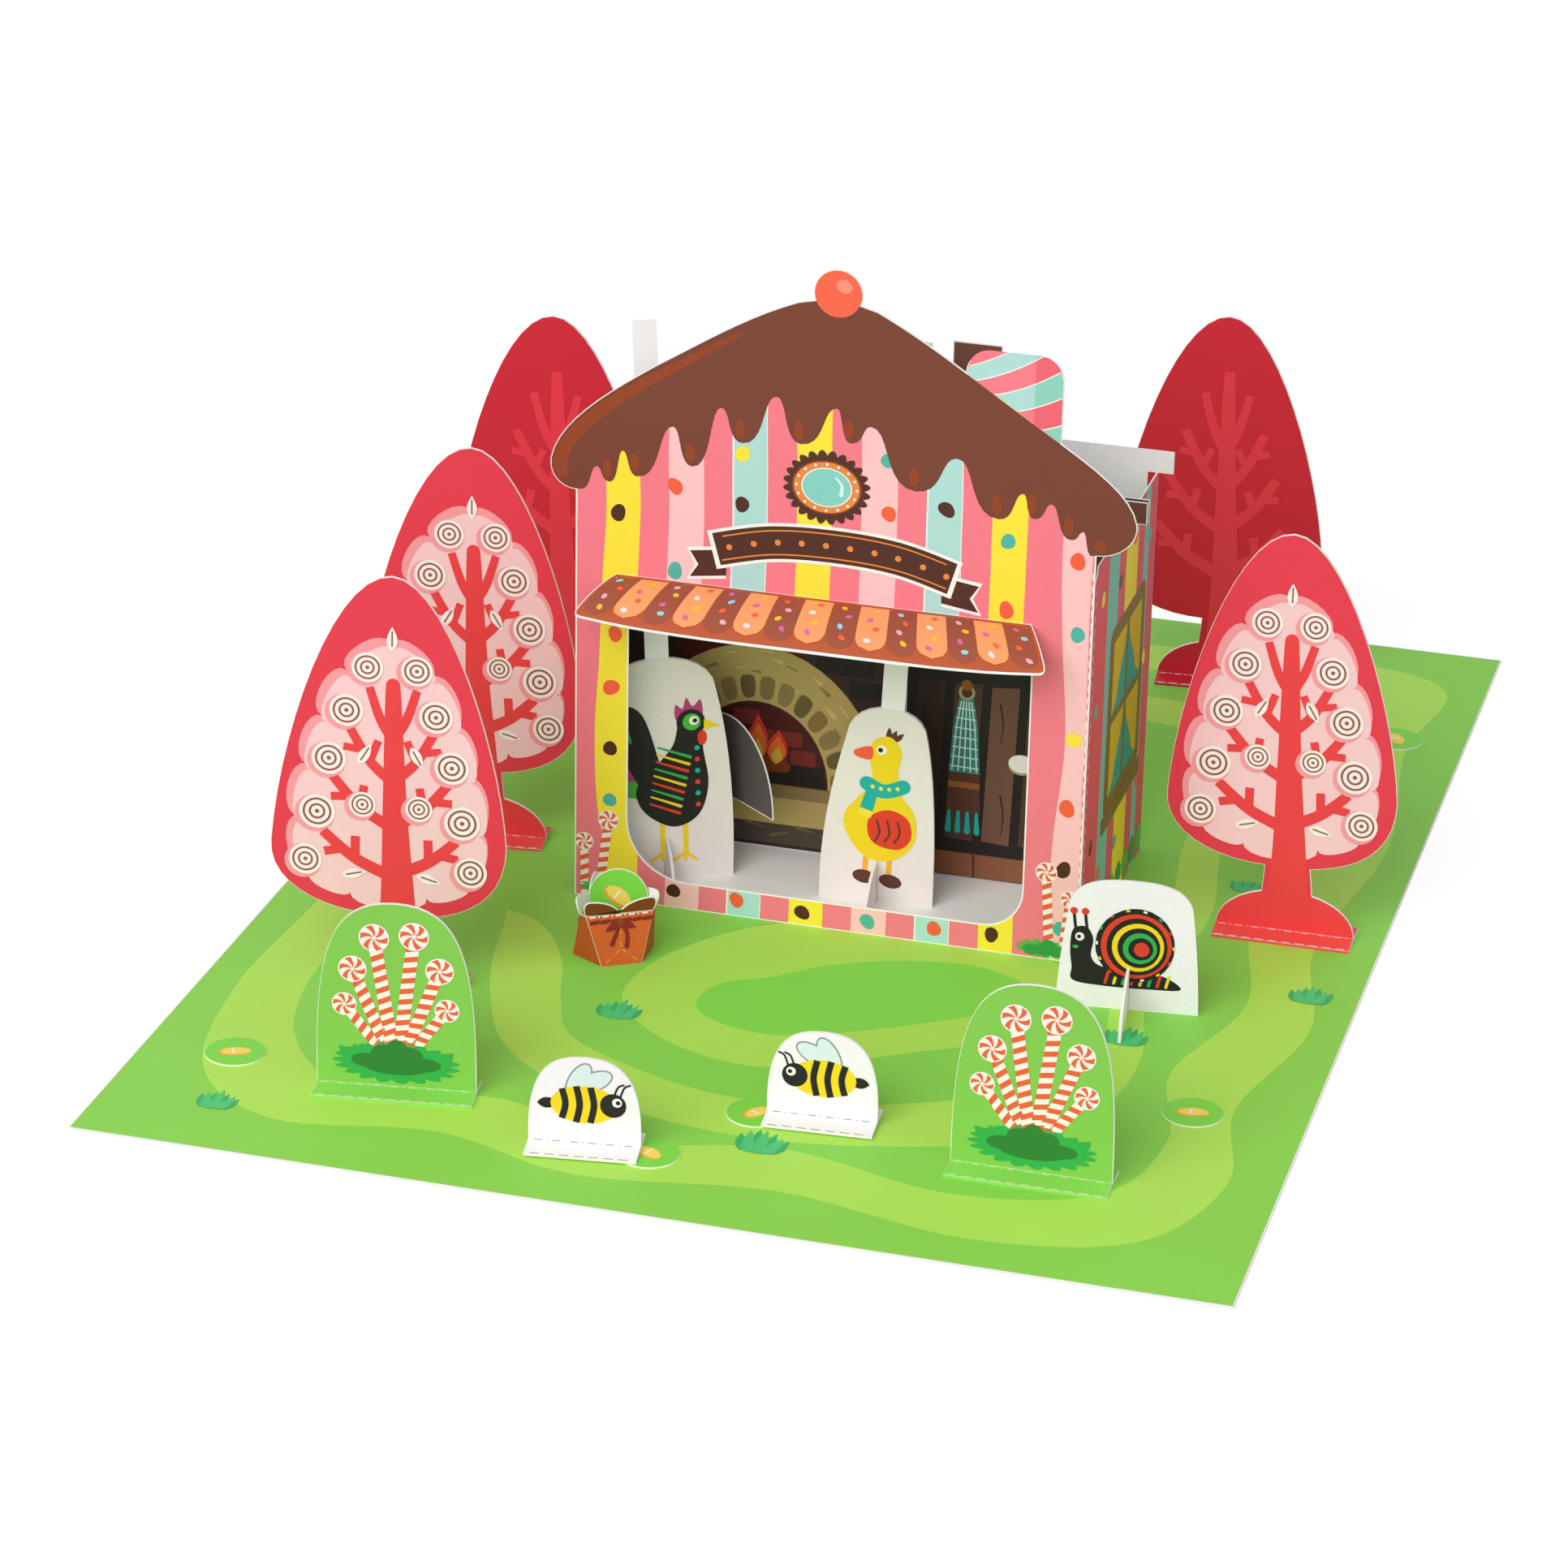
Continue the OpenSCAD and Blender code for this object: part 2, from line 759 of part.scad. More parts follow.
module counter(i) {
    color("greenyellow") translate([counter_places[i].x * mat_w, counter_places[i].y * mat_d, lawn_z])
        cylinder(h = card_t, r = counter_r);
}

lawn_mat();
house_front();
house_left_wall();
house_right_wall();
house_floor();
awning();
oven_backdrop();
oven_fire_card();
oven_door();
side_scene_card();
rear_card();
left_puppet_front();
left_puppet_back();
left_puppet_strip();
left_puppet_foot();
right_puppet_front();
right_puppet_back();
right_puppet_strip();
right_puppet_foot();
animal_front();
animal_back();
animal_foot();
for (i = [0 : 4]) {
    tree_front(i);
    tree_back(i);
    tree_foot(i);
    counter(i);
}
for (i = [0 : 1]) {
    bush_front(i);
    bush_back(i);
    bush_foot(i);
    small_card_front(i);
    small_card_back(i);
    small_card_foot(i);
}
basket_cup();
basket_flaps();
basket_counter();
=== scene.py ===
import math
import random

import bmesh
import bpy
from mathutils import Matrix, Vector


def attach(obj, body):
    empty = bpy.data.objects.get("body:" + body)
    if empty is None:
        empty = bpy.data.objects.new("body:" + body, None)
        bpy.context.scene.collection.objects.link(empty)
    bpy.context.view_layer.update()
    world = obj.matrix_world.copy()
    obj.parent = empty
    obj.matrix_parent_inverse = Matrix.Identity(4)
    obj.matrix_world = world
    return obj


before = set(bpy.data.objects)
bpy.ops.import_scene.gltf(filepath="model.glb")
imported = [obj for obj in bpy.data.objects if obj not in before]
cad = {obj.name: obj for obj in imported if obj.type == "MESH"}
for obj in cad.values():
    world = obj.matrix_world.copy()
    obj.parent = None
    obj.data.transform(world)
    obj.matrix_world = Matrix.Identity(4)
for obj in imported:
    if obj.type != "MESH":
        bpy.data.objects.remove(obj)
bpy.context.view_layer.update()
mm = 0.001
print("theatre: frame loaded with", len(cad), "solids")

# viewpoint: spot in metres, turns in degrees, lens and sensor in millimetres
eye = {"spot": (0.3277, -1.2778, 0.6112), "turn": -15.307, "dip": 23.918, "roll": 1.217,
       "lens": 119.57, "sensor": 36, "far": 20}


def setEye():
    turn, dip, roll = (math.radians(eye[k]) for k in ("turn", "dip", "roll"))
    ahead = Vector((math.sin(turn) * math.cos(dip), math.cos(turn) * math.cos(dip), -math.sin(dip)))
    side = Vector((math.cos(turn), -math.sin(turn), 0))
    up = side.cross(ahead)
    right = side * math.cos(roll) + up * math.sin(roll)
    top = up * math.cos(roll) - side * math.sin(roll)
    data = bpy.data.cameras.new("eye")
    data.lens, data.sensor_width, data.clip_end = eye["lens"], eye["sensor"], eye["far"]
    camera = bpy.data.objects.new("eye", data)
    bpy.context.scene.collection.objects.link(camera)
    place = Matrix((right, top, -ahead)).transposed().to_4x4()
    place.translation = eye["spot"]
    camera.matrix_world = place
    bpy.context.scene.camera = camera


setEye()

# printed colours, as they look under plain light
inkBook = {
    "coral": "F37C8B", "coralDeep": "EE6474", "blush": "FDC4C6", "mint": "AEDBD6", "mintDeep": "8CCFBE",
    # the side walls' coral and mint are deeper copies of coral and mint: painted shade of the side walls
    "wallCoralShade": "E4606A", "wallMintShade": "84C4B0", "teal": "4FB3A2", "lemon": "FBE33C", "icing": "FDF4EF",
    "cocoa": "733C2B", "cocoaDark": "4C261B", "cinnamon": "8F3F1C", "bean": "4A2416", "biscuit": "E8883E",
    "cherry": "FC6447", "cherryLight": "FF8F78", "orangeDot": "F4603E", "glass": "84CFC6",
    "glassLight": "D8F1EC", "hedge": "2F9A40", "hedgeLight": "52B64C", "frameOlive": "7C7030",
    "frameBrown": "9A6238", "paneTeal": "45A08E", "drapeYellow": "DDB624",
    "awningOrange": "F2A067", "awningBrown": "9A4F38", "awningBase": "B5542D", "sprinklePink": "F5A9C0",
    "sprinkleBlue": "8AD6E6", "sprinkleYellow": "FFBE2E", "sprinkleRed": "F4633F",
    "sprinkleRose": "D9669F", "sprinkleWhite": "FBE3EA",
    "treeRed": "E43B4C", "treeDark": "D02236", "branchRed": "EC4145", "branchDark": "E73746",
    "leafPale": "FFCCCF", "leafPink": "FA9CA4", "roundWhite": "FFF1EA", "roundLine": "9C5650",
    # the feet's red and green are lighter copies of the tree red and the bush green: painted light on the
    # folded feet
    "footRedLit": "F2554F", "footGreenLit": "8BDA57", "bush": "83C650", "bushLeaf": "2FAB4B",
    "bushDark": "2C7C30", "stickRed": "EC6238", "stickWhite": "FEF1EB", "cream": "F2E6B8",
    "lawnEdge": "8AD54E", "lawnBand": "AEE658", "lawnField": "88D850", "lawnCore": "84DE4E",
    "tuft": "4CC878", "tuftDark": "36B468",
    "crust": "D35E26", "crustSide": "BC5421", "crustDark": "84401A", "ribbon": "862217",
    "stitch": "F59A40", "lime": "7EDB48", "crumb": "FBDD62", "crumbEdge": "EDB03A",
    "soot": "1E1714", "wallDark": "33221C", "brick": "7A2A22", "brickDark": "4A1713",
    "plaster": "C0A966", "plasterLight": "D4C07E", "plasterShade": "937F50", "archStone": "8C7442",
    "stone": "B8A277", "stoneDark": "6E5E3A", "ovenFoot": "4C4238", "flame": "FF7A2E",
    "flameLight": "FFC24A", "log": "8A3B20", "doorGrey": "575150",
    "plank": "74503F", "plankLine": "4E342A", "handleBrown": "724739", "bandBrown": "8A5638",
    "clothTeal": "2F8C83", "clothLight": "D5EAE4", "inkBlack": "1A1616", "greyLine": "8C8F94",
    "wing": "DCE9EF", "boot": "5B3426", "skin": "F2B233", "seaTeal": "1FB0A8", "magenta": "B8417F",
    "leafGreen": "4FB845", "strongRed": "E23D2A", "strongYellow": "F7D51D", "strongGreen": "2FAE52",
}
mattInks = ("frameBrown", "frameOlive", "paneTeal", "drapeYellow")    # the side windows

# finish of the card: gloss, roughness and its spread, fibre bump, mottle of the print
paper = {"gloss": 0.32, "mattGloss": 0.08, "inkRough": 0.56, "stripeRough": 0.55, "bareRough": 0.68,
         "smoother": 0.07, "rougher": 0.08, "inkBump": 0.16, "bareBump": 0.3, "bumpDepth": 0.00006,
         "mottle": 0.1, "inkGrain": (38.0, 1300.0), "bareGrain": (22.0, 900.0)}


def colour(name):
    code = inkBook.get(name, name)
    parts = [int(code[i:i + 2], 16) / 255 for i in (0, 2, 4)]
    return tuple(p / 12.92 if p < 0.04045 else ((p + 0.055) / 1.055) ** 2.4 for p in parts) + (1.0,)


def shaded(col, k):
    return tuple(min(1.0, c * k) for c in col[:3]) + (1.0,)


def nodeOf(tree, kind, feeds, **settings):
    # feeds: socket to value, or to the output that is wired into it
    node = tree.nodes.new("ShaderNode" + kind)
    for key, value in settings.items():
        setattr(node, key, value)
    for key, value in feeds.items():
        if isinstance(value, bpy.types.NodeSocket):
            tree.links.new(value, node.inputs[key])
        else:
            node.inputs[key].default_value = value
    return node


def mathOf(tree, operation, *values):
    return nodeOf(tree, "Math", dict(enumerate(values)), operation=operation).outputs[0]


def noiseOf(tree, coord, scale, detail, rough=0.5):
    feeds = {"Vector": coord, "Scale": scale, "Detail": detail, "Roughness": rough}
    return nodeOf(tree, "TexNoise", feeds).outputs["Fac"]


def grain(tree, sizes):
    # paper fibres, and these with the slow unevenness of a print
    coord = nodeOf(tree, "TexCoord", {}).outputs["Object"]
    fibre = noiseOf(tree, coord, sizes[1], 4.0, 0.65)
    slow = mathOf(tree, "MULTIPLY", noiseOf(tree, coord, sizes[0], 3.0, 0.55), 0.45)
    return coord, fibre, mathOf(tree, "MULTIPLY_ADD", fibre, 0.55, slow)


def newCard(name):
    mat = bpy.data.materials.new(name)
    mat.use_nodes = True
    return mat, mat.node_tree, mat.node_tree.nodes["Principled BSDF"]


def finishCard(tree, bsdf, base, fibre, rough, bumpy, gloss=paper["gloss"]):
    bsdf.inputs["Specular IOR Level"].default_value = gloss
    spread = nodeOf(tree, "MapRange", {"Value": fibre, "From Min": 0.3, "From Max": 0.7,
                                       "To Min": rough - paper["smoother"],
                                       "To Max": rough + paper["rougher"]})
    bump = nodeOf(tree, "Bump", {"Height": fibre, "Strength": bumpy, "Distance": paper["bumpDepth"]})
    for socket, output in (("Base Color", base), ("Roughness", spread.outputs["Result"]),
                           ("Normal", bump.outputs["Normal"])):
        tree.links.new(output, bsdf.inputs[socket])


inkStore = {}


def ink(name):
    # one printed colour with a faint mottle and paper fibres
    if name not in inkStore:
        mat, tree, bsdf = newCard("ink_" + name)
        fibre, both = grain(tree, paper["inkGrain"])[1:]
        dark, light = (shaded(colour(name), 1 + k * paper["mottle"]) for k in (-1, 1))
        mix = nodeOf(tree, "Mix", {0: both, 6: dark, 7: light}, data_type="RGBA")
        gloss = paper["mattGloss" if name in mattInks else "gloss"]
        finishCard(tree, bsdf, mix.outputs[2], fibre, paper["inkRough"], paper["inkBump"], gloss)
        inkStore[name] = mat
    return inkStore[name]


def bareCard(name, low, high):
    mat, tree, bsdf = newCard(name)
    fibre, both = grain(tree, paper["bareGrain"])[1:]
    ramp = nodeOf(tree, "ValToRGB", {"Fac": both})
    for bit, pos, hue in zip(ramp.color_ramp.elements, (0.3, 0.7), (low, high)):
        bit.position, bit.color = pos, colour(hue)
    finishCard(tree, bsdf, ramp.outputs["Color"], fibre, paper["bareRough"], paper["bareBump"])
    return mat


# stripes of the house: colours and where each starts in one round, from one left edge
stripes = {"start": -27.0, "pitch": 52.95, "wave": 1.2, "waveScale": 24.0, "slant": 0.35,
           "turns": [("icing", 0.0), ("mint", 0.007), ("icing", 0.176), ("coral", 0.183),
                     ("lemon", 0.333), ("coral", 0.515), ("blush", 0.667), ("coral", 0.848)]}


def stripedCard(name, axis, start, turns, pitch, gloss=paper["gloss"]):
    mat, tree, bsdf = newCard(name)
    coord, fibre, both = grain(tree, paper["inkGrain"])
    split = nodeOf(tree, "SeparateXYZ", {0: coord}).outputs
    slant = mathOf(tree, "MULTIPLY", split[axis], stripes["slant"])
    flat = nodeOf(tree, "CombineXYZ", {"X": slant, "Z": split["Z"]}).outputs[0]
    wave, reach = noiseOf(tree, flat, stripes["waveScale"], 1.0), stripes["wave"] * mm
    sway = mathOf(tree, "MULTIPLY_ADD", wave, 2 * reach, -start * mm - reach)
    run = mathOf(tree, "MULTIPLY", mathOf(tree, "ADD", split[axis], sway), 1 / (pitch * mm))
    ramp = nodeOf(tree, "ValToRGB", {"Fac": mathOf(tree, "FRACT", run)})
    ramp.color_ramp.interpolation = "CONSTANT"
    bits = ramp.color_ramp.elements
    for i, (hue, pos) in enumerate(turns):
        bit = bits[i] if i < 2 else bits.new(pos)
        bit.position, bit.color = pos, colour(hue)
    low, high = 1 - paper["mottle"], 1 + paper["mottle"]
    tone = nodeOf(tree, "MapRange", {"Value": both, "To Min": low, "To Max": high})
    feeds = {0: ramp.outputs["Color"], "Scale": tone.outputs["Result"]}
    mix = nodeOf(tree, "VectorMath", feeds, operation="SCALE")
    finishCard(tree, bsdf, mix.outputs[0], fibre, paper["stripeRough"], paper["inkBump"], gloss)
    return mat


cardWhite = bareCard("bare_card", "F0EFED", "FAF9F7")
# a violet-tinted copy of the bare card for the cards standing on the lawn: painted light, cancelling the
# lawn's green bounce
cardBounceTint = bareCard("bounce_tint_card", "F2EBF5", "FCF5FF")
# a darker, warmer copy of the bare card for the puppets: painted shade of the stage under the awning
cardStageShade = bareCard("stage_shade_card", "E8E1DD", "F2EBE7")
for name, solid in cad.items():
    solid.data.materials.clear()
    onStage = "puppet" in name and not name.endswith("strip")
    onLawn = name.startswith(("animal", "small_card")) and not name.endswith("foot")
    solid.data.materials.append(cardBounceTint if onLawn else cardStageShade if onStage else cardWhite)

# centre and reach of the painted shade on the bare card about the oven's mouth
mouthShadeRing = {"centre": (-31.7, 5.9, 26.6), "reach": 23.5}


def mouthShadeCard():
    # bare card whose cut edge is dark about the oven's mouth: painted shade on the edge of the opening, in
    # stone colour
    mat = cardWhite.copy()
    mat.name = "mouth_shade_card"
    tree = mat.node_tree
    base = tree.nodes["Principled BSDF"].inputs["Base Color"]
    white = base.links[0].from_socket
    coord = nodeOf(tree, "TexCoord", {}).outputs["Object"]
    centre = Vector(mouthShadeRing["centre"]) * mm
    far = nodeOf(tree, "VectorMath", {0: coord, 1: centre}, operation="DISTANCE")
    near = mathOf(tree, "LESS_THAN", far.outputs["Value"], mouthShadeRing["reach"] * mm)
    mix = nodeOf(tree, "Mix", {0: near, 6: white, 7: colour("archStone")}, data_type="RGBA")
    tree.links.new(mix.outputs[2], base)
    return mat


cad["oven_backdrop"].data.materials[0] = mouthShadeCard()
print("theatre: card finish on every solid")


# flat shapes in millimetres; each is a list of outlines
def ringPoint(cx, cy, rx, ry, a):
    return (cx + rx * math.cos(a), cy + ry * math.sin(a))


def oval(cx, cy, rx, ry=None, turn=0.0, n=26, wobble=0.0, seed=0):
    ry = rx if ry is None else ry
    phase = random.Random(seed).random() * 6.28
    a = math.radians(turn)
    pts = []
    for i in range(n):
        t = 2 * math.pi * i / n
        k = 1 + wobble * math.sin(2 * t + phase) + wobble * 0.6 * math.sin(3 * t + 2 * phase)
        x, y = rx * k * math.cos(t), ry * k * math.sin(t)
        pts.append((cx + x * math.cos(a) - y * math.sin(a), cy + x * math.sin(a) + y * math.cos(a)))
    return [pts]


def spline(points, n=6, closed=False):
    out = []
    count = len(points)
    for i in range(count if closed else count - 1):
        if closed:
            p0, p1, p2, p3 = (points[(i + k) % count] for k in (-1, 0, 1, 2))
        else:
            p0, p1 = points[max(i - 1, 0)], points[i]
            p2, p3 = points[i + 1], points[min(i + 2, count - 1)]
        for j in range(n):
            t = j / n
            out.append(tuple(0.5 * (2 * b + (c - a) * t + (2 * a - 5 * b + 4 * c - d) * t * t
                                    + (3 * b - a - 3 * c + d) * t ** 3)
                             for a, b, c, d in zip(p0, p1, p2, p3)))
    if not closed:
        out.append(tuple(points[-1]))
    return out


def blob(points, n=6):
    return [spline(points, n, True)]


def heading(path, i):
    a, b = path[max(i - 1, 0)], path[min(i + 1, len(path) - 1)]
    return Vector((b[0] - a[0], b[1] - a[1])).normalized()


def band(path, widths, roundEnds=True):
    # a brush stroke along a path, as one outline
    widths = widths if isinstance(widths, (list, tuple)) else [widths] * len(path)
    if len(widths) != len(path):
        first, last = widths[0], widths[-1]
        widths = [first + (last - first) * i / (len(path) - 1) for i in range(len(path))]
    left, right, caps = [], [], []
    for i, p in enumerate(path):
        d, w = heading(path, i), widths[i] / 2
        left.append((p[0] - d.y * w, p[1] + d.x * w))
        right.append((p[0] + d.y * w, p[1] - d.x * w))
        if roundEnds and i in (0, len(path) - 1):
            cap = []
            for deg in (120, 150, 180, 210, 240) if i == 0 else (-60, -30, 0, 30, 60):
                c, t = math.cos(math.radians(deg)) * w, math.sin(math.radians(deg)) * w
                cap.append((p[0] + d.x * c - d.y * t, p[1] + d.y * c + d.x * t))
            caps.append(cap)
    start, end = caps if caps else ([], [])
    return [right + end + left[::-1] + start]


def inward(path, gap):
    out = []
    for i, p in enumerate(path):
        d = heading(path, i)
        out.append((p[0] - d.y * gap, p[1] + d.x * gap))
    return out


def hoop(cx, cy, r, w, n=28, rx=1.0):
    ring = []
    for i in range(n):
        a, b = 2 * math.pi * i / n, 2 * math.pi * (i + 1) / n
        ring.append([ringPoint(cx, cy, (r + s) * rx, r + s, t)
                     for s, t in ((-w / 2, a), (w / 2, a), (w / 2, b), (-w / 2, b))])
    return ring


def scallops(cx, cy, r, count, depth, n=8, rx=1.0):
    pts = []
    for i in range(count * n):
        t = 2 * math.pi * i / (count * n)
        k = r + depth * abs(math.sin(t * count / 2))
        pts.append(ringPoint(cx, cy, k * rx, k, t))
    return [pts]


def petal(base, tip, width, n=7):
    d = Vector((tip[0] - base[0], tip[1] - base[1]))
    side = Vector((-d.y, d.x)).normalized() * width / 2
    left, right = [], []
    for i in range(n + 1):
        t = i / n
        w = math.sin(math.pi * t ** 0.8)
        p = Vector(base) + d * t
        left.append(tuple(p + side * w))
        right.append(tuple(p - side * w))
    return [right + left[::-1][1:-1]]


def dashes(a, b, dash=2.2, gap=1.6, width=0.55, dots=False):
    a, b = Vector(a), Vector(b)
    length = (b - a).length
    d = (b - a) / length
    out, s, k = [], 0.4, 0
    while s < length - 0.3:
        run = min(dash if not (dots and k % 2) else width, length - 0.3 - s)
        out += band([tuple(a + d * s), tuple(a + d * (s + run))], width, False)
        s += run + gap
        k += 1
    return out


def oblong(x0, y0, x1, y1, r=0.0, n=5):
    if r <= 0:
        return [[(x0, y0), (x1, y0), (x1, y1), (x0, y1)]]
    pts = []
    for cx, cy, a0 in ((x1 - r, y0 + r, -90), (x1 - r, y1 - r, 0),
                       (x0 + r, y1 - r, 90), (x0 + r, y0 + r, 180)):
        pts += [ringPoint(cx, cy, r, r, math.radians(a0 + 90 * i / n)) for i in range(n + 1)]
    return [pts]


def cubic(a, b, c, d, t):
    s = 1 - t
    return tuple(s ** 3 * p + 3 * s * s * t * q + 3 * s * t * t * r + t ** 3 * w
                 for p, q, r, w in zip(a, b, c, d))


def curve(a, b, c, d, n=10):
    return [cubic(a, b, c, d, i / n) for i in range(n)]


def turned(shape, deg):
    c, s = math.cos(math.radians(deg)), math.sin(math.radians(deg))
    return [[(x * c - y * s, x * s + y * c) for x, y in poly] for poly in shape]


def layPiece(name, mesh, body):
    piece = bpy.data.objects.new(name, mesh)
    bpy.context.scene.collection.objects.link(piece)
    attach(piece, body)


def stickyPrint(name, body, at, strokes, slotName, flip=False, lift=0.05, step=0.02):
    # lays painted shapes on a card, each stroke (ink, shape, layer) a hair above the last
    verts, faces, marks, inks, seen = [], [], [], [], {}
    for inkName, shape, layer in strokes:
        if inkName not in inks:
            inks.append(inkName)
        seen[layer] = seen.get(layer, -1) + 1
        high = lift + (layer + 0.15 * (seen[layer] % 6)) * step
        for poly in shape:
            area = sum(p[0] * q[1] - q[0] * p[1] for p, q in zip(poly, poly[1:] + poly[:1]))
            if abs(area) < 1e-4:
                continue
            if (area < 0) != flip:
                poly = poly[::-1]
            start = len(verts)
            verts += [at(u, v, high) for u, v in poly]
            faces.append(list(range(start, len(verts))))
            marks.append(inks.index(inkName))
    mesh = bpy.data.meshes.new(name)
    mesh.from_pydata([tuple(v) for v in verts], [], faces)
    for inkName in inks:
        mesh.materials.append(ink(inkName))
    mesh.polygons.foreach_set("material_index", marks)
    mesh.update()
    layPiece(name, mesh, body)


def facePrint(name, node, body, aim, mat, edge=0.12, lift=0.03, spread=0.94, keep=None):
    # covers the faces of a solid that look one way with ink, short of their cut edges
    bm = bmesh.new()
    bm.from_mesh(cad[node].data)
    bmesh.ops.remove_doubles(bm, verts=bm.verts[:], dist=1e-6)
    bm.normal_update()
    aim = Vector(aim).normalized()
    away = [f for f in bm.faces
            if f.normal.dot(aim) < spread or (keep and not keep(f.calc_center_median() / mm))]
    bmesh.ops.delete(bm, geom=away, context="FACES")
    bmesh.ops.dissolve_limit(bm, angle_limit=0.02, verts=bm.verts[:], edges=bm.edges[:])
    rim = bmesh.ops.inset_region(bm, faces=bm.faces[:], thickness=edge * mm,
                                 use_boundary=True, use_even_offset=True)
    bmesh.ops.delete(bm, geom=rim["faces"], context="FACES")
    bm.normal_update()
    for v in bm.verts:
        v.co += v.normal * lift * mm
    bmesh.ops.triangulate(bm, faces=[f for f in bm.faces if len(f.verts) > 4])
    mesh = bpy.data.meshes.new(name)
    bm.to_mesh(mesh)
    bm.free()
    mesh.materials.append(mat)
    layPiece(name, mesh, body)


def upright(x, y, turn, foot, out, lean=0.0):
    # both faces of a standing card: tag, place of u across and v up, aim, and whether it is flipped
    c, s = math.cos(math.radians(turn)), math.sin(math.radians(turn))
    lc, ls = math.cos(math.radians(lean)), math.sin(math.radians(lean))

    def side(sign):
        def at(u, v, h):
            u, v = u * lc - v * ls, u * ls + v * lc
            d = sign * (out + h)
            return Vector((x + u * c - d * s, y + u * s + d * c, foot + v)) * mm
        return at
    return [("_front", side(-1), (s, -c, 0), False), ("_back", side(1), (-s, c, 0), True)]


def printBoth(name, sides, art, slotName):
    for tag, at, aim, flip in sides:
        stickyPrint(name + tag + "_art", name, at, art, slotName, flip=flip)


def lying(x, y, high):
    return lambda u, v, h: Vector((x + u, y + v, high + h)) * mm


print("theatre: drawing tools ready")

# lawn: one printed sheet with winding bands of green, and tufts of grass (x, y, size)
lawn = {
    "top": 0.5, "blades": 7, "bladeTall": 11.0, "bladeWide": 2.6,
    "bands": [
        ("lawnBand", [(-136, -60), (-138, -120), (-129, -168), (-102, -190), (-60, -184), (-20, -195),
                      (30, -188), (80, -197), (120, -186), (135, -150), (129, -110), (139, -60),
                      (131, -10), (139, 60), (132, 130), (136, 180), (100, 194), (40, 188), (-30, 196),
                      (-90, 188), (-129, 192), (-138, 150), (-131, 90), (-138, 20)]),
        ("lawnField", [(-117, -60), (-121, -108), (-112, -146), (-88, -168), (-50, -162), (-15, -175),
                       (25, -166), (70, -176), (106, -165), (116, -132), (109, -95), (120, -50),
                       (112, 0), (121, 60), (114, 125), (117, 162), (92, 176), (40, 168), (-30, 177),
                       (-87, 169), (-111, 171), (-120, 140), (-112, 85), (-119, 20)]),
        ("lawnBand", [(-84, -58), (-78, -88), (-70, -112), (-60, -132), (-42, -148), (-14, -159),
                      (16, -163), (46, -158), (76, -146), (96, -120), (100, -90), (94, -50), (100, 0),
                      (94, 50), (100, 105), (84, 140), (40, 148), (-30, 146), (-84, 140), (-99, 100),
                      (-92, 50), (-99, 0)]),
        ("lawnField", [(-74, -60), (-61, -80), (-54, -102), (-45, -122), (-24, -135), (4, -143),
                       (32, -139), (60, -127), (80, -112), (88, -84), (84, -45), (88, 0), (83, 50),
                       (88, 98), (72, 125), (0, 132), (-70, 125), (-106, 98), (-100, 45), (-108, 0),
                       (-98, -46)]),
        ("lawnBand", [(-30, -60), (-38, -78), (-39, -96), (-30, -110), (-14, -121), (6, -125),
                      (24, -117), (44, -104), (62, -92), (76, -76), (72, -50), (50, -30), (10, -30),
                      (-16, -44)]),
        ("lawnCore", [(-19, -94), (-16, -81), (-4, -73), (8, -62), (26, -53), (46, -50), (62, -58),
                      (60, -72), (46, -84), (26, -97), (6, -106), (-11, -103)])],
    "tufts": [(-118.3, -189.4, 0.9), (-36.9, -109.6, 1.05), (19.3, -170.2, 1.15), (93.6, -83.6, 1.0),
              (135.3, -44.4, 1.0), (105.7, 19.2, 0.8), (-104, 62, 0.9), (-134, 172, 0.9), (-20, 96, 0.9),
              (44, 128, 0.9), (128, 96, 0.9), (-60, 152, 0.9), (20, 190, 0.9)]}


def makeLawn():
    facePrint("lawn_print", "lawn_mat", "lawn", (0, 0, 1), ink("lawnEdge"), edge=0.4)
    s = [(hue, blob(points, 8), i) for i, (hue, points) in enumerate(lawn["bands"])]
    over, last = len(lawn["bands"]), lawn["blades"] - 1
    for i, (x, y, k) in enumerate(lawn["tufts"]):
        rng = random.Random(i + 3)
        for j in range(lawn["blades"]):
            a = -0.95 + 1.9 * j / last + rng.uniform(-0.08, 0.08)
            tall = (lawn["bladeTall"] - 3.6 * abs(a)) * k * rng.uniform(0.88, 1.08)
            foot = (x + (j - last / 2) * 1.15 * k, y)
            tip = (foot[0] + math.sin(a) * 2.6 * k, y + tall)
            s.append(("tuft" if j % 2 else "tuftDark", petal(foot, tip, lawn["bladeWide"] * k), over + j % 2))
        s.append(("tuft", oval(x, y + 1.6 * k, 4.2 * k, 2.0 * k), over + 2))
    stickyPrint("lawn_art", "lawn", lying(0, 0, lawn["top"]), s, "green_print")


makeLawn()
print("theatre: lawn printed")

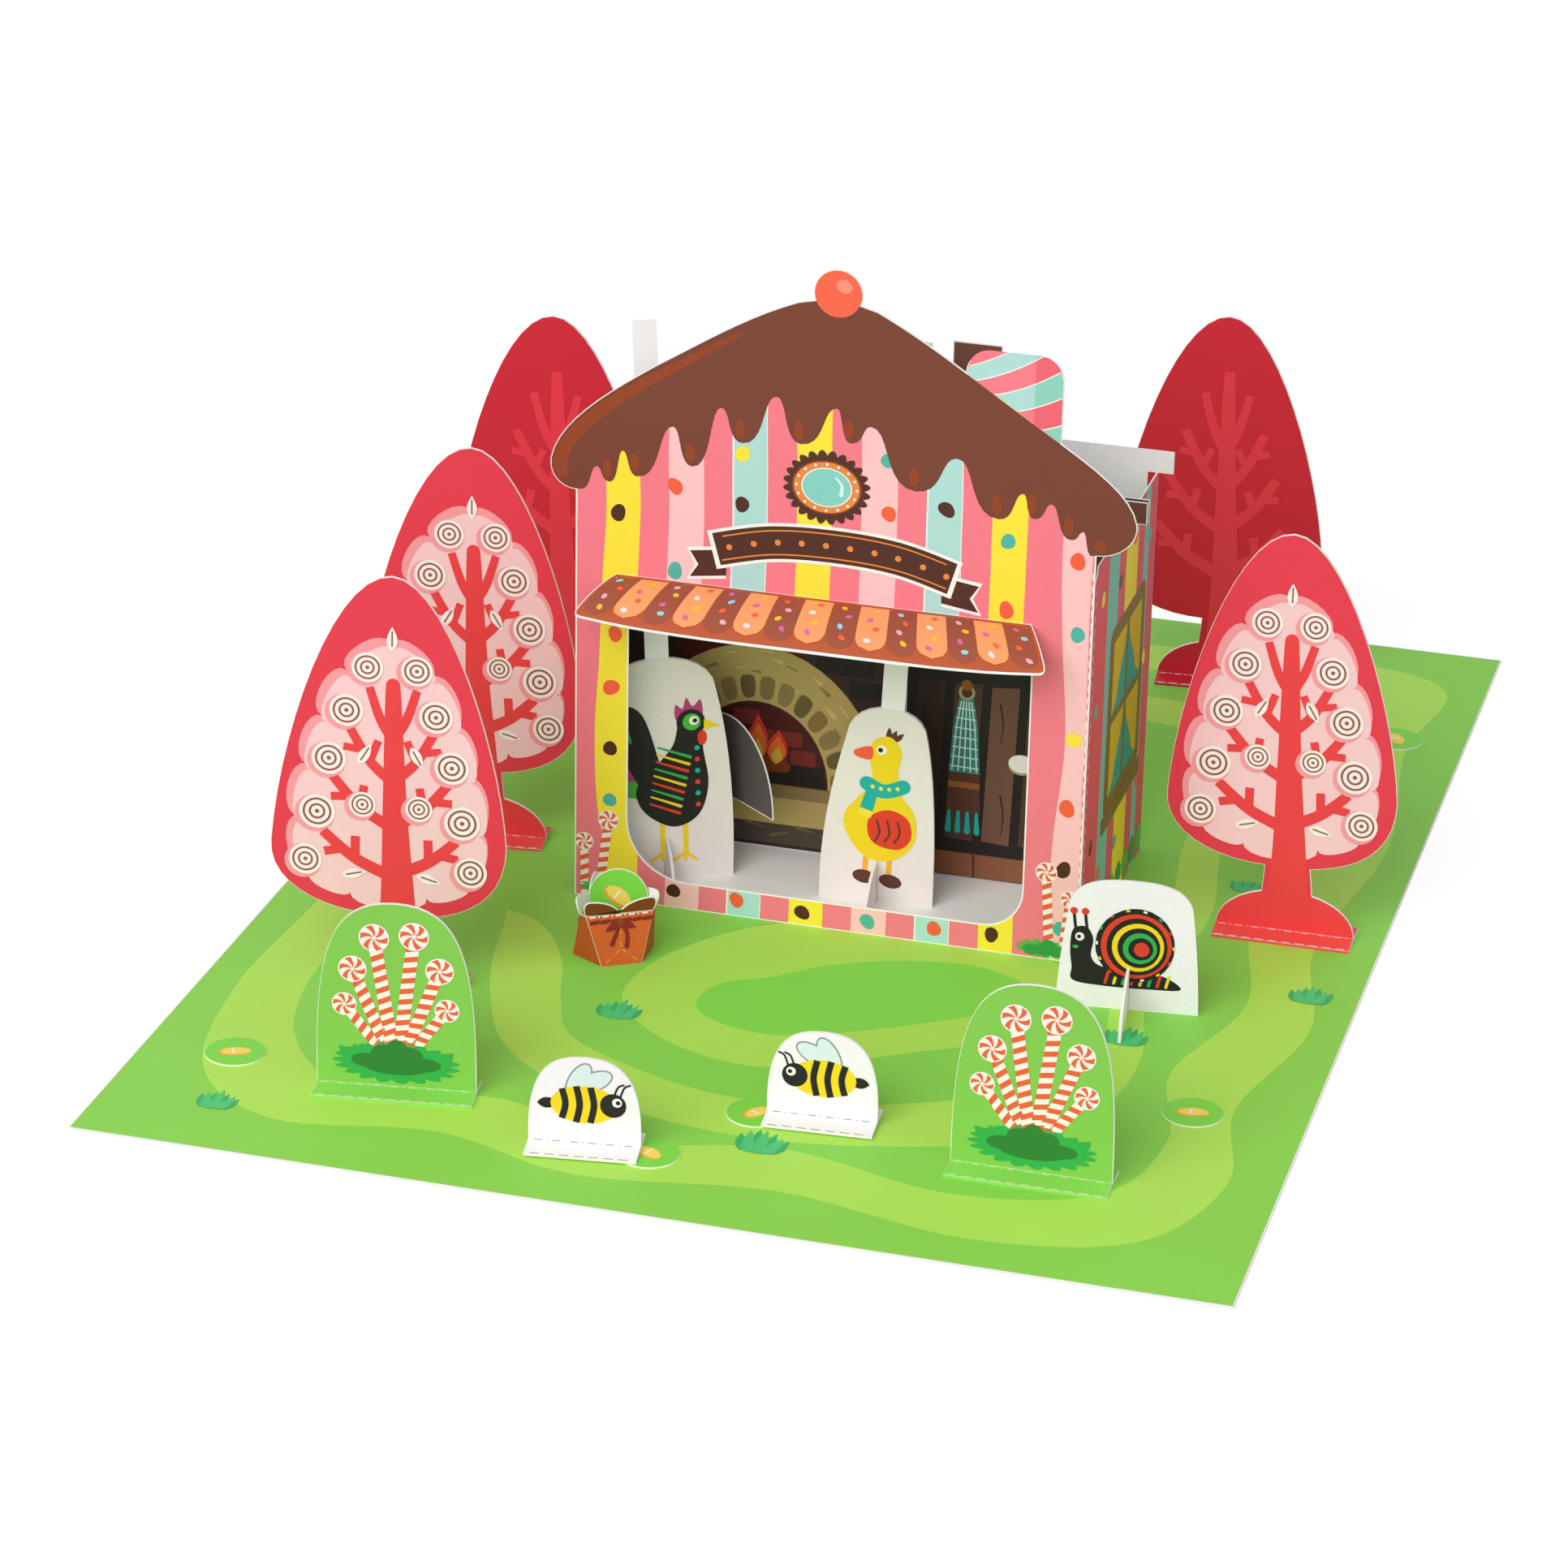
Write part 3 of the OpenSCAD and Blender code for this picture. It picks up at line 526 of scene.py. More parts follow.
# house front: outline as cut, then its icing, window, ribbon, sticks and dots (across, up, ink)
house = {"x": 0.7, "front": -39.8, "foot": 0.5, "half": 71.0, "wallTop": 113.5, "ridge": 180.5,
         "eaves": ((10.4, 4.2, 1.7), (7.0, 5.6, 0.0)), "cutEdge": 0.26, "cherry": (0.0, 181.5, 6.5),
         "biscuit": (-1.9, 128.0), "hedge": 61.6,
         "sticks": [((-64, 1.0), (-61.5, 22), 2.6), ((-68, 1.0), (-68.2, 15), 2.3),
                    ((63.0, 2.0), (61.6, 24), 2.6), ((66.5, 2.0), (68, 17), 2.3)],
         "ribbon": [(-33, 106.6), (-17, 110.6), (0.5, 111.6), (18, 110.4), (34, 106.2)],
         "drips": [(69.8, 117.6), (67.3, 124.0), (64.0, 121.4), (58.6, 130.6), (54.0, 126.0),
                   (51.0, 132.6), (44.6, 124.8), (33.0, 140.2), (22.2, 129.8), (9.6, 146.2), (4.2, 141.0),
                   (0.4, 150.2), (-9.2, 139.2), (-16.0, 151.6), (-25.2, 137.6), (-31.0, 146.8),
                   (-38.8, 129.4), (-44.2, 140.0), (-54.0, 124.8), (-58.0, 131.6), (-61.6, 122.4),
                   (-65.2, 126.4), (-69.8, 119.4)],
         "swells": [("lemon", -57.2, 112, [(-58.6, 0.4), (-61.5, 14), (-64.6, 28), (-65.4, 50),
                                           (-64.2, 72), (-63.6, 92), (-62.4, 112)]),
                    ("coral", 57.8, 126, [(62.6, 0.4), (62.4, 22), (62.9, 38), (64.9, 64), (63.2, 90),
                                          (62.2, 108), (62.0, 126)])],
         "dots": [(-59.1, 113.9, "bean"), (-59.8, 78.9, "orangeDot"), (-60.8, 63.2, "orangeDot"),
                  (-61.0, 45.2, "bean"), (-61.0, 29.9, "teal"), (-43.4, 123.3, "orangeDot"),
                  (-43.2, 99.3, "teal"), (-42.6, 5.2, "bean"), (-25.0, 134.6, "lemon"),
                  (-24.9, 120.4, "bean"), (-24.6, 5.0, "orangeDot"), (-6.0, 4.0, "bean"),
                  (12.4, 4.0, "teal"), (31.0, 4.6, "orangeDot"), (47.0, 5.2, "bean"), (14.6, 137.5, "teal"),
                  (15.1, 122.6, "orangeDot"), (30.6, 125.7, "bean"), (47.4, 118.9, "teal"),
                  (47.6, 99.6, "orangeDot"), (66.2, 115.6, "orangeDot"), (67.0, 95.1, "teal"),
                  (67.2, 65.1, "lemon"), (66.2, 45.1, "orangeDot"), (66.0, 27.1, "bean"),
                  (66.0, 9.5, "teal")]}


def facing(y):
    return lambda u, v, h: Vector((house["x"] + u, y - h, house["foot"] + v)) * mm


def eave(out, rise, sag):
    half, ridge, top = house["half"], house["ridge"], house["wallTop"]
    tip, foot, tipTop = half + out, top + rise, top + 14
    mid = (half - 22, ridge - 24 - sag)
    return (curve((half, foot), (half + out * 0.6, foot), (tip + 0.8, tipTop - 5), (tip, tipTop))
            + curve((tip, tipTop), (tip - 2, tipTop + 10), (mid[0] + 15, mid[1] - 10), mid)
            + curve(mid, (mid[0] - 16, mid[1] + 10), (22, ridge - 6 - sag), (6, ridge - 0.6)))


def roofEdge():
    right = eave(*house["eaves"][0])
    left = [(-x, y) for x, y in eave(*house["eaves"][1])][::-1]
    return inward(right + [(0, house["ridge"])] + left, house["cutEdge"])


def roundCandy(x, y, r, base, line, layer):
    # a round with bent wedges, as on a peppermint
    out = [(base, oval(x, y, r), layer)]
    for k in range(6):
        a = k * math.pi / 3
        edge = [ringPoint(x, y, r * q, r * q, a + 0.75 * q) for q in (0.12, 0.4, 0.68, 0.92)]
        other = [ringPoint(x, y, r * q, r * q, a + 0.5 + 0.75 * q) for q in (0.92, 0.68, 0.4, 0.12)]
        out.append((line, [edge + other], layer + 1))
    return out


def peppermintStick(foot, tip, width, layer):
    # a straight red and white stick, with a round end
    f, t = Vector(foot), Vector(tip)
    d = (t - f).normalized()
    n = Vector((-d.y, d.x)) * width / 2
    length = (t - f).length
    out = [("stickWhite", band([foot, tip], width), layer)]
    s = 0.6
    while s < length - 1.4:
        a, b = f + d * s, f + d * (s + 1.5)
        out.append(("stickRed", [[tuple(p) for p in (a + n, a - n + d, b - n + d, b + n)]], layer + 1))
        s += 3.0
    end = t + d * width * 0.7
    return out + roundCandy(end.x, end.y, width * 1.15, "stickWhite", "stickRed", layer + 2)


def rounded(points):
    # a wavy edge that runs level through its points: full drops below, tighter arches above
    out = []
    for i, (a, b) in enumerate(zip(points, points[1:])):
        d = b[0] - a[0]
        leave, reach = (0.72, 0.44) if i % 2 == 0 else (0.44, 0.72)
        out += curve(a, (a[0] + d * leave, a[1]), (b[0] - d * reach, b[1]), b, 9)
    return out + [points[-1]]


def iceRoof():
    drips = house["drips"]
    s = [("cocoa", [roofEdge() + rounded(drips)[::-1]], 2)]
    for i, (u, v) in enumerate(drips[2:-1:2]):
        s.append(("cinnamon", oval(u - 0.6, v + 3.9, 1.35, 2.8, 4, 16, 0.04, i), 4))
    s.append(("cinnamon", oval(72.0, 120.6, 1.4, 2.2, 30, 16, 0.04, 3), 4))
    gleam = inward([p for p in roofEdge() if p[0] < -24 and p[1] > house["wallTop"] + 9][::-1], -2.4)
    last = len(gleam) - 1
    widths = [0.5 + 3.4 * math.sin(math.pi * (0.06 + 0.6 * (1 - i / last))) for i in range(last + 1)]
    return s + [("cinnamon", band(gleam, widths), 3)]


# chimney: stripes that fan out and climb to the right, in deeper tones on the right side
stack = {"left": 34.5, "right": 60.5, "top": 171.5, "corner": 6.2, "columns": 28, "line": 0.35, "stripes": 6,
         "first": 165.5, "lean": 0.33, "bend": 0.0123, "gap": 4.05, "fan": 0.132, "deep": 52.5}


def roofAt(line, u):
    for a, b in zip(line, line[1:]):
        if a[0] <= u <= b[0]:
            return a[1] + (b[1] - a[1]) * (u - a[0]) / max(b[0] - a[0], 1e-6)
    return line[0][1] if u < line[0][0] else line[-1][1]


def stackTop(u):
    r = stack["corner"]
    left, right, top = stack["left"] + 0.3, stack["right"] - 0.3, stack["top"] - 0.7
    over = max(left + r - u, u - (right - r), 0.0)
    return top - r + math.sqrt(max(r * r - over * over, 0.0))


def stackEdge(k, u):
    du = u - stack["left"]
    climb = stack["lean"] * du + stack["bend"] * du ** 2
    return stack["first"] + climb - k * (stack["gap"] + stack["fan"] * du)


def sugarChimney():
    roofLine = sorted(p for p in roofEdge() if 25 < p[0] < 70)
    clip = lambda u, v: (u, min(max(v, roofAt(roofLine, u) + 0.15), stackTop(u)))
    count, wide = stack["columns"], stack["right"] - stack["left"] - 0.5
    columns = [stack["left"] + 0.25 + wide * i / count for i in range(count + 1)]
    cells, lines = {"coral": [], "coralDeep": [], "mint": [], "mintDeep": []}, []
    for a, b in zip(columns, columns[1:]):
        deep = "Deep" if a > stack["deep"] else ""
        cells["coral" + deep].append([clip(a, 0), clip(b, 0), clip(b, 200), clip(a, 200)])
        for k in range(stack["stripes"]):
            low = [clip(u, stackEdge(k + 1, u)) for u in (a, b)]
            high = [clip(u, stackEdge(k, u)) for u in (b, a)]
            if k % 2 == 0:
                cells["mint" + deep].append(low + high)
            corners = ((a, 0), (b, 0), (b, stack["line"]), (a, stack["line"]))
            lines.append([clip(u, stackEdge(k, u) + w) for u, w in corners])
    return [(hue, shape, 2 + hue.startswith("mint")) for hue, shape in cells.items()] + [("icing", lines, 4)]


def biscuitWindow(u, v):
    gleam = spline([(u + 2.4, v + 3.0), (u + 4.1, v + 1.0), (u + 4.0, v - 1.6)])
    s = [("cocoaDark", scallops(u, v, 8.9, 24, 1.5, rx=1.15), 5), ("biscuit", oval(u, v, 9.5, 7.4, n=36), 6),
         ("cinnamon", hoop(u, v, 7.3, 0.4, rx=1.27), 7), ("icing", oval(u, v, 6.95, 5.5, n=32), 7),
         ("glass", oval(u, v, 6.6, 5.2, n=32), 8), ("glassLight", band(gleam, [0.4, 1.2]), 9)]
    spots = [ringPoint(u, v, 8.25, 6.45, k * math.pi / 8) for k in range(16)]
    return s + [("icing", [q for x, y in spots for q in oval(x, y, 0.4, n=10)], 8)]


def plainRibbon():
    # a folded ribbon above the awning
    path = spline(house["ribbon"], 8)
    s = []
    for side, end in ((-1, path[0]), (1, path[-1])):
        far = (end[0] + side * 7.0, end[1] - 4.6)
        root = end[0] - side * 4
        for hue, wide, grow, layer in (("icing", 9.2, 0.0, 3), ("bean", 7.4, 0.9, 4)):
            tip, half = far[0] - side * grow, wide / 2
            s.append((hue, [[(root, end[1] - 3.2 - half), (tip, far[1] - half), (tip - side * 2.4, far[1]),
                             (tip, far[1] + half), (root, end[1] - 3.2 + half)]], layer))
    s += [("icing", band(path, 11.0, False), 5), ("bean", band(path[1:-1], 9.2, False), 6)]
    s.append(("biscuit", [q for x, y in path[3:-2:3] for q in oval(x, y, 0.85, n=12)], 7))
    for off in (-3.4, 3.4):
        s.append(("biscuit", band([(x, y + off) for x, y in path[2:-2]], 0.4, False), 7))
    return s


def makeFacade():
    card = stripedCard("stripes_front", "X", stripes["start"], stripes["turns"], stripes["pitch"])
    facePrint("house_stripes", "house_front", "house", (0, -1, 0), card, edge=0.42)
    s = []
    for i, (u, v, hue) in enumerate(house["dots"]):
        rng = random.Random(i)
        wide, tall, turn = rng.uniform(1.75, 2.2), rng.uniform(2.0, 2.5), rng.uniform(-40, 40)
        s.append((hue, oval(u, v, wide, tall, turn, 18, 0.07, i), 1))
    for hue, straight, top, edge in house["swells"]:    # the first yellow and the last coral stripe
        s.append((hue, [spline(edge) + [(straight, top), (straight, 0.4)]], 0))
    s += iceRoof() + sugarChimney() + biscuitWindow(*house["biscuit"]) + plainRibbon()
    cx, cy, r = house["cherry"]
    s += [("cherry", oval(cx, cy, r - 0.15, n=40), 5),
          ("cherryLight", oval(cx + 1.6, cy + 2.2, 2.2, 1.8, -20), 6)]
    # sticks of sugar and a low hedge at the corners
    for foot, tip, wide in house["sticks"]:
        s += peppermintStick(foot, tip, wide, 2)
    for side in (-1, 1):
        u = side * house["hedge"]
        s.append(("hedgeLight", scallops(u, 3.2, 1.9, 15, 0.8, rx=3.0), 6))
        for du, v, r in ((0, 3.0, 2.0), (-3.6, 2.6, 1.6), (3.4, 2.8, 1.7), (1.2, 4.6, 1.5)):
            s.append(("hedge", oval(u + du, v, r * 1.3, r), 7))
    # fold marks
    half, fold = house["half"], house["half"] - 0.45
    s.append(("icing", dashes((fold, 2), (fold, house["wallTop"] + 1), 2.0, 1.5, 0.38), 8))
    s.append(("icing", dashes((-half + 2, 0.35), (half - 2, 0.35), width=0.3), 8))
    stickyPrint("house_front_art", "house", facing(house["front"]), s, "coral_print")


makeFacade()
print("theatre: house front printed")

# side walls: stripes, one window with four panes, a low hedge, dots (along, up, ink)
walls = {"outer": 71.0, "window": (-11, 36.5, 24, 82), "bar": 1.3, "hedge": 5.0, "bushes": 9, "fold": 38.2,
         "pitch": 80.0,
         # coral and mint here are deeper than on the front: painted shade on the side walls
         "turns": [("wallCoralShade", 0.0), ("wallMintShade", 0.225), ("wallCoralShade", 0.39), ("lemon", 0.5),
                   ("wallCoralShade", 0.69), ("wallMintShade", 0.79), ("wallCoralShade", 0.87)],
         "dots": [(-30, 30, "bean"), (28, 26, "orangeDot"), (30, 62, "lemon"), (-31, 70, "teal"),
                  (-6, 98, "bean"), (12, 104, "orangeDot"), (30, 98, "teal"), (-28, 101, "lemon"),
                  (2, 18, "teal"), (-18, 17, "orangeDot")]}


def wallWindow():
    x0, y0, x1, y1 = walls["window"]
    mid, cross, bar = (x0 + x1) / 2, (y0 + y1) / 2, walls["bar"]
    framed = lambda gap, r: oblong(x0 - gap, y0 - gap, x1 + gap, y1 + gap, r)
    s = [("frameBrown", framed(4.5, 3.5), 1), ("frameOlive", framed(2.6, 2), 2)]
    for hem, inner in ((x0, mid - bar), (x1, mid + bar)):
        for low, high in ((y0, cross - bar), (cross + bar, y1)):
            s.append(("paneTeal", oblong(min(hem, inner), low, max(hem, inner), high, 0.8), 3))
            wide = inner - hem
            fall = curve((inner, high), (inner, high - 8),
                         (hem + wide * 0.45, low + 12), (hem + wide * 0.3, low))
            s.append(("drapeYellow", [[(hem, high), (inner, high)] + fall + [(hem, low)]], 4))
    return s + [("frameOlive", oblong(x0 - 6.5, y0 - 9, x1 + 6.5, y0 - 4, 1.6), 3),
                ("frameBrown", oblong(x0 - 5.5, y0 - 5.8, x1 + 5.5, y0 - 4.8, 0.4), 4)]


def makeWalls():
    for side, node in ((1, "house_right_wall"), (-1, "house_left_wall")):
        card = stripedCard("stripes_" + node, "Y", house["front"], walls["turns"], walls["pitch"],
                           paper["mattGloss"])
        facePrint(node + "_stripes", node, "house", (side, 0, 0), card)
        s = wallWindow()
        for i in range(walls["bushes"]):
            bush = scallops(-35 + i * 8.8, walls["hedge"], 3.2, 9, 0.8)
            s.append(("hedge" if i % 2 else "hedgeLight", bush, 2 + i % 2))
        for i, (u, v, hue) in enumerate(walls["dots"]):
            s.append((hue, oval(u, v, 1.9, 2.3, 20 * i, 18, 0.06, i), 1))
        fold = -walls["fold"] * side
        s.append(("icing", dashes((fold, 3), (fold, 108)), 5))
        x = house["x"] + side * walls["outer"]
        at = lambda u, v, h: Vector((x + side * h, u * side, house["foot"] + v)) * mm
        stickyPrint(node + "_art", "house", at, s, "coral_print")


makeWalls()
print("theatre: side walls printed")

# awning: tongues of two colours with sugar sprinkles
awning = {"x": -1.8, "top": 96.9, "half": 57.0, "lipHalf": 64.8, "reach": 16.4, "drop": 8.8, "bow": 1.6,
          "tongues": 15, "span": 0.985, "start": 0.1, "tip": 0.2, "rows": 14,
          "pills": 4, "across": 61.0, "down": 19.0,
          "orange": {"ink": "awningOrange", "end": 0.87, "wide": 1.0, "layer": 2,
                     "pills": ("sprinkleWhite", "sprinkleYellow", "sprinkleRose", "sprinkleRed")},
          "brown": {"ink": "awningBrown", "end": 0.9, "wide": 0.9, "layer": 0,
                    "pills": ("sprinkleBlue", "sprinkleRed", "sprinklePink", "sprinkleYellow",
                              "sprinkleRose")}}


def awningAt(u, v, h):
    t = min(max(v, 0.0), 1.0)
    reach, drop = awning["reach"], awning["drop"]
    path = [(0.0, 0.0), (-5.0, -0.5), (-reach + 4, -drop + 4.5), (-reach, -drop)]
    y, z = cubic(*path, t)
    s = 1 - t
    dy, dz = (3 * s * s * (b - a) + 6 * s * t * (c - b) + 3 * t * t * (d - c) for a, b, c, d in zip(*path))
    long = math.hypot(dy, dz)
    half = awning["half"] + (awning["lipHalf"] - awning["half"]) * -y / (reach - awning["bow"])
    return Vector((awning["x"] + u * half, house["front"] + y + dz / long * h,
                   awning["top"] + z - dy / long * h)) * mm


def makeAwning():
    facePrint("awning_base", "awning", "house", (0, -0.4, 0.9), ink("awningBase"), edge=0.3,
              spread=0.72, keep=lambda p: p.y < house["front"] - 0.01)
    s, count, first, rows = [], awning["tongues"], awning["start"], awning["rows"]
    for k in range(count):
        mid = awning["span"] * (-1 + (2 * k + 1) / count)
        tongue = awning["orange" if k % 2 else "brown"]
        end = tongue["end"] - 0.09 * mid ** 4
        edge = []
        for j in range(rows + 1):
            t = first + (end - first) * j / rows
            over = max(0.0, (t - end + awning["tip"]) / awning["tip"])
            edge.append((t, tongue["wide"] / count * math.sqrt(max(0.0, 1 - over * over))))
        cells = [[(mid - w0, t0), (mid + w0, t0), (mid + w1, t1), (mid - w1, t1)]
                 for (t0, w0), (t1, w1) in zip(edge, edge[1:])]
        s.append((tongue["ink"], cells, tongue["layer"]))
        rng = random.Random(40 + k)
        for j in range(awning["pills"]):
            v = 0.2 + 0.17 * j + rng.uniform(-0.015, 0.015)
            u = mid + (0.24 if (j + k) % 2 else -0.24) * rng.uniform(0.4, 1.3) / count
            pill = oval(0, 0, 0.95, 0.68, rng.uniform(-40, 60), 12, 0.05, j)[0]
            hue = tongue["pills"][(k + j) % len(tongue["pills"])]
            s.append((hue, [[(u + x / awning["across"], v + y / awning["down"]) for x, y in pill]], 4))
    stickyPrint("awning_art", "house", awningAt, s, "brown_print", lift=0.1)


makeAwning()
print("theatre: awning printed")

# the oven scene: stone arch on a dark wall, fire behind the mouth
oven = {"y": 5.7, "card": 0.4, "mouth": (-32.4, 20.1), "half": 20.7, "tall": 24.4, "fold": 1.0,
        "doorTurn": -38.0, "domeWide": 15.5, "domeTall": 17.0, "hearth": 6.4,
        "stones": 14, "stoneGap": 0.19, "strokes": 26,
        "stoneInks": ("archStone", "stoneDark", "plasterShade"),
        "flames": [(-5.2, 9.5), (0.2, 14.5), (5.4, 10.5)],
        "flameInks": [("strongRed", 1.0, 5), ("flame", 0.82, 6), ("flameLight", 0.5, 7)]}


def archRow(r0, r1, layer):
    # rounded stones about the mouth
    cx, cy = oven["mouth"]
    k, count, gap = oven["tall"] / oven["half"], oven["stones"], oven["stoneGap"]
    out = []
    for i in range(count):
        a, b = math.pi * (i + gap) / count, math.pi * (i + 1 - gap) / count
        pts = [ringPoint(cx, cy, r, r * k, t) for r, t in ((r1, a), (r1, b), (r0, b), (r0, a))]
        out.append((oven["stoneInks"][i % len(oven["stoneInks"])], blob(pts, 5), layer))
    return out


def archHalf(cx, cy, rx, ry, ix, iy, n=24):
    cells = []
    for i in range(n):
        a, b = math.pi * i / n, math.pi * (i + 1) / n
        corners = ((rx, ry, a), (rx, ry, b), (ix, iy, b), (ix, iy, a))
        cells.append([ringPoint(cx, cy, wide, tall, t) for wide, tall, t in corners])
    return cells


def mouthShape(gap):
    cx, cy = oven["mouth"]
    half, tall = oven["half"] - gap, oven["tall"] - gap
    end = math.pi - math.acos(1 - oven["fold"] / half)
    pts = [ringPoint(cx, cy + gap, half, tall, end * i / 22) for i in range(23)]
    return [pts + [(cx - half + oven["fold"], cy + gap)]]


def ovenWall():
    cx, cy = oven["mouth"]
    half, tall = oven["half"], oven["tall"]
    s = []
    for row in range(10):    # faint bricks on the wall above
        for col in range(7):
            u, v = -66 + col * 20 + (10 if row % 2 else 0), 49 + row * 6.5
            if u + 17 < 69:
                s.append(("brickDark" if (row + col) % 3 else "soot", oblong(u, v, u + 17, v + 5.2, 0.6), 0))
    # the plastered dome and its body
    out, top = half + oven["domeWide"], tall + oven["domeTall"]
    left, right = cx - out, cx + out
    s += [("ovenFoot", oblong(left, 2.0, right, cy - 0.4), 1),
          ("plaster", archHalf(cx, cy, out, top, half + 0.2, tall + 0.2), 1)]
    for i in range(oven["strokes"]):
        rng = random.Random(200 + i)
        a = math.pi * (0.03 + 0.94 * (i + rng.random()) / oven["strokes"])
        r = rng.uniform(0.42, 0.92)
        sweep = [a + k * rng.uniform(0.035, 0.06) for k in (-1, 0, 1)]
        path = [ringPoint(cx, cy, half + (out - half) * r, tall + (top - tall) * r, t) for t in sweep]
        hue = ("plasterLight", "plasterShade", "plasterLight")[i % 3]
        s.append((hue, band(path, [rng.uniform(0.5, 1.6), 0.4]), 2))
    s += archRow(half + 1.5, half + 6.3, 3)
    s += [("plasterShade", oblong(left + 0.8, cy - 3.9, right - 0.8, cy - 0.15), 3),
          ("plaster", oblong(left + 1.5, cy - 12.0, right - 1.5, cy - 3.0, 1.0), 2)]
    for i in range(9):
        rng = random.Random(240 + i)
        u = left + 4 + i * 7.4
        path = [(u, rng.uniform(4, 8)), (u + rng.uniform(3, 6), rng.uniform(4, 8))]
        s.append(("stoneDark", band(path, [1.2, 0.5]), 3))
    return s


def ovenFire():
    cx, cy = oven["mouth"]
    half, tall, high = oven["half"], oven["tall"], oven["hearth"]
    s = [("brickDark", mouthShape(-0.4), 0)]
    inside = lambda p: ((p[0] - cx) / (half - 1.2)) ** 2 + ((p[1] - cy) / (tall - 1.2)) ** 2 < 1
    for row in range(4):
        for col in range(5):
            u, v = cx - 19 + col * 8.2 + (4 if row % 2 else 0), cy + 1 + row * 5.4
            box = oblong(u, v, u + 7.4, v + 4.5, 0.5)
            if all(inside(p) for p in box[0]):
                s.append(("brick", box, 1))
    wide = math.sqrt(1 - (high / tall) ** 2) * (half - 0.6)
    s += [("soot", [[(cx - half + 1.2, cy + 0.3), (cx + half - 0.7, cy + 0.3),
                     (cx + wide, cy + high), (cx - wide, cy + high)]], 2),
          ("log", band([(cx - 7, cy + 4.6), (cx + 8, cy + 5.4)], 3.4), 3),
          ("crustDark", band([(cx - 4.5, cy + 7.2), (cx + 5.5, cy + 6.6)], 2.6), 4)]
    for hue, k, layer in oven["flameInks"]:
        for dx, long in oven["flames"]:
            s.append((hue, petal((cx + dx, cy + 6.0), (cx + dx * 1.15, cy + 6.0 + long * k), 6.2 * k), layer))
    return s


def makeOven():
    y = oven["y"]
    facePrint("oven_wall", "oven_backdrop", "oven_scene", (0, -1, 0), ink("wallDark"),
              edge=0.25)
    stickyPrint("oven_art", "oven_scene", facing(y), ovenWall(), "dark_print")
    # the fire card is seen through the mouth
    stickyPrint("oven_fire", "oven_scene", facing(y + oven["card"]), ovenFire(), "ember_print",
                lift=0.02, step=0.008)
    # plain door leaf, dark on both faces
    a = math.radians(oven["doorTurn"])
    for tag, sign, hue in (("front", 1, "doorGrey"), ("back", -1, "soot")):
        aim = (math.sin(a) * sign, -math.cos(a) * sign, 0)
        facePrint("oven_door_" + tag, "oven_door", "oven_door", aim, ink(hue),
                  edge=0.3, lift=0.02)


makeOven()
print("theatre: oven scene printed")

# side scene: dark planks, and a checked towel on a peg
sideScene = {"y": 3.3, "left": 10.6, "right": 70.3, "dark": 113.0, "first": 14.0, "pitch": 10.45,
             "plank": 7.8, "lean": 1.6, "joints": (31.5, 52.0), "towel": 27.8, "knob": (43.8, 37.0),
             "tones": ("wallDark", "plankLine", "plank", "plankLine", "plank")}


def plankArt():
    left, wide, lean = sideScene["left"], sideScene["plank"], sideScene["lean"]
    s = [("soot", oblong(left + 0.3, 0.8, sideScene["right"], sideScene["dark"]), 0)]
    for i, tone in enumerate(sideScene["tones"]):
        u = sideScene["first"] + i * sideScene["pitch"]
        rng = random.Random(70 + i)
        s += [(tone, [[(u - lean, 12.2), (u + wide - lean, 11.7), (u + wide, 59.3), (u, 58.6)]], 1),
              (tone, oblong(u, 64, u + wide, 103, 0.8), 1)]
        for j in range(4):
            v = 16 + j * 22 + rng.uniform(-2, 4)
            x = u + rng.uniform(1.5, wide - 2.5)
            s.append(("soot", band(spline([(x, v), (x + 0.6, v + 6), (x - 0.4, v + 12)]), [0.2, 0.5]), 2))
    s += [("wallDark", oblong(left + 1, 106, 70, 112, 0.8), 1),
          ("bandBrown", oblong(left + 1, 1.0, 70, 8.0, 0.4), 1)]
    for u in sideScene["joints"]:
        s.append(("wallDark", band([(u, 1.2), (u - 0.3, 7.8)], 0.5), 2))
    return s


def towelArt(cx):
    s = [("clothTeal", [[(cx - 4.4, 32), (cx + 4.4, 32), (cx + 3.5, 46), (cx + 2.0, 54.5),
                         (cx - 2.0, 54.5), (cx - 3.5, 46)]], 3)]
    for k in range(-2, 3):
        path = [(cx + k * 0.7, 53.6), (cx + k * 1.3, 46), (cx + k * 1.75, 32.6)]
        s.append(("clothLight", band(path, 0.38, False), 4))
    for k in range(7):
        v = 34 + k * 2.9
        w = 4.2 - 0.09 * (v - 33)
        s.append(("clothLight", band([(cx - w, v), (cx + w, v - 0.2)], 0.38, False), 5))
    s += [("boot", [[(cx - 4.8, 20), (cx + 4.8, 20), (cx + 4.4, 32.2), (cx - 4.4, 32.2)]], 3),
          ("frameBrown", oblong(cx - 4.5, 27.6, cx + 4.5, 29.4), 4)]
    for k in (-1.5, -0.5, 0.5, 1.5):
        s.append(("seaTeal", band([(cx + 2.6 * k, 20.2), (cx + 2.75 * k, 14.6)], [0.9, 1.7]), 3))
    return s + [("stone", hoop(cx, 56.2, 1.9, 0.8), 4), ("frameBrown", oval(cx, 58.4, 1.6), 5)]


def makeSideScene():
    facePrint("side_scene_base", "side_scene_card", "side_scene", (0, -1, 0), ink("handleBrown"),
              edge=0.25)
    u, v = sideScene["knob"]
    knob = [("stone", oval(u, v - 0.5, 3.6, 2.9), 3), ("icing", oval(u, v, 3.6, 2.7), 4)]
    s = plankArt() + towelArt(sideScene["towel"]) + knob
    stickyPrint("side_scene_art", "side_scene", facing(sideScene["y"]), s, "dark_print")


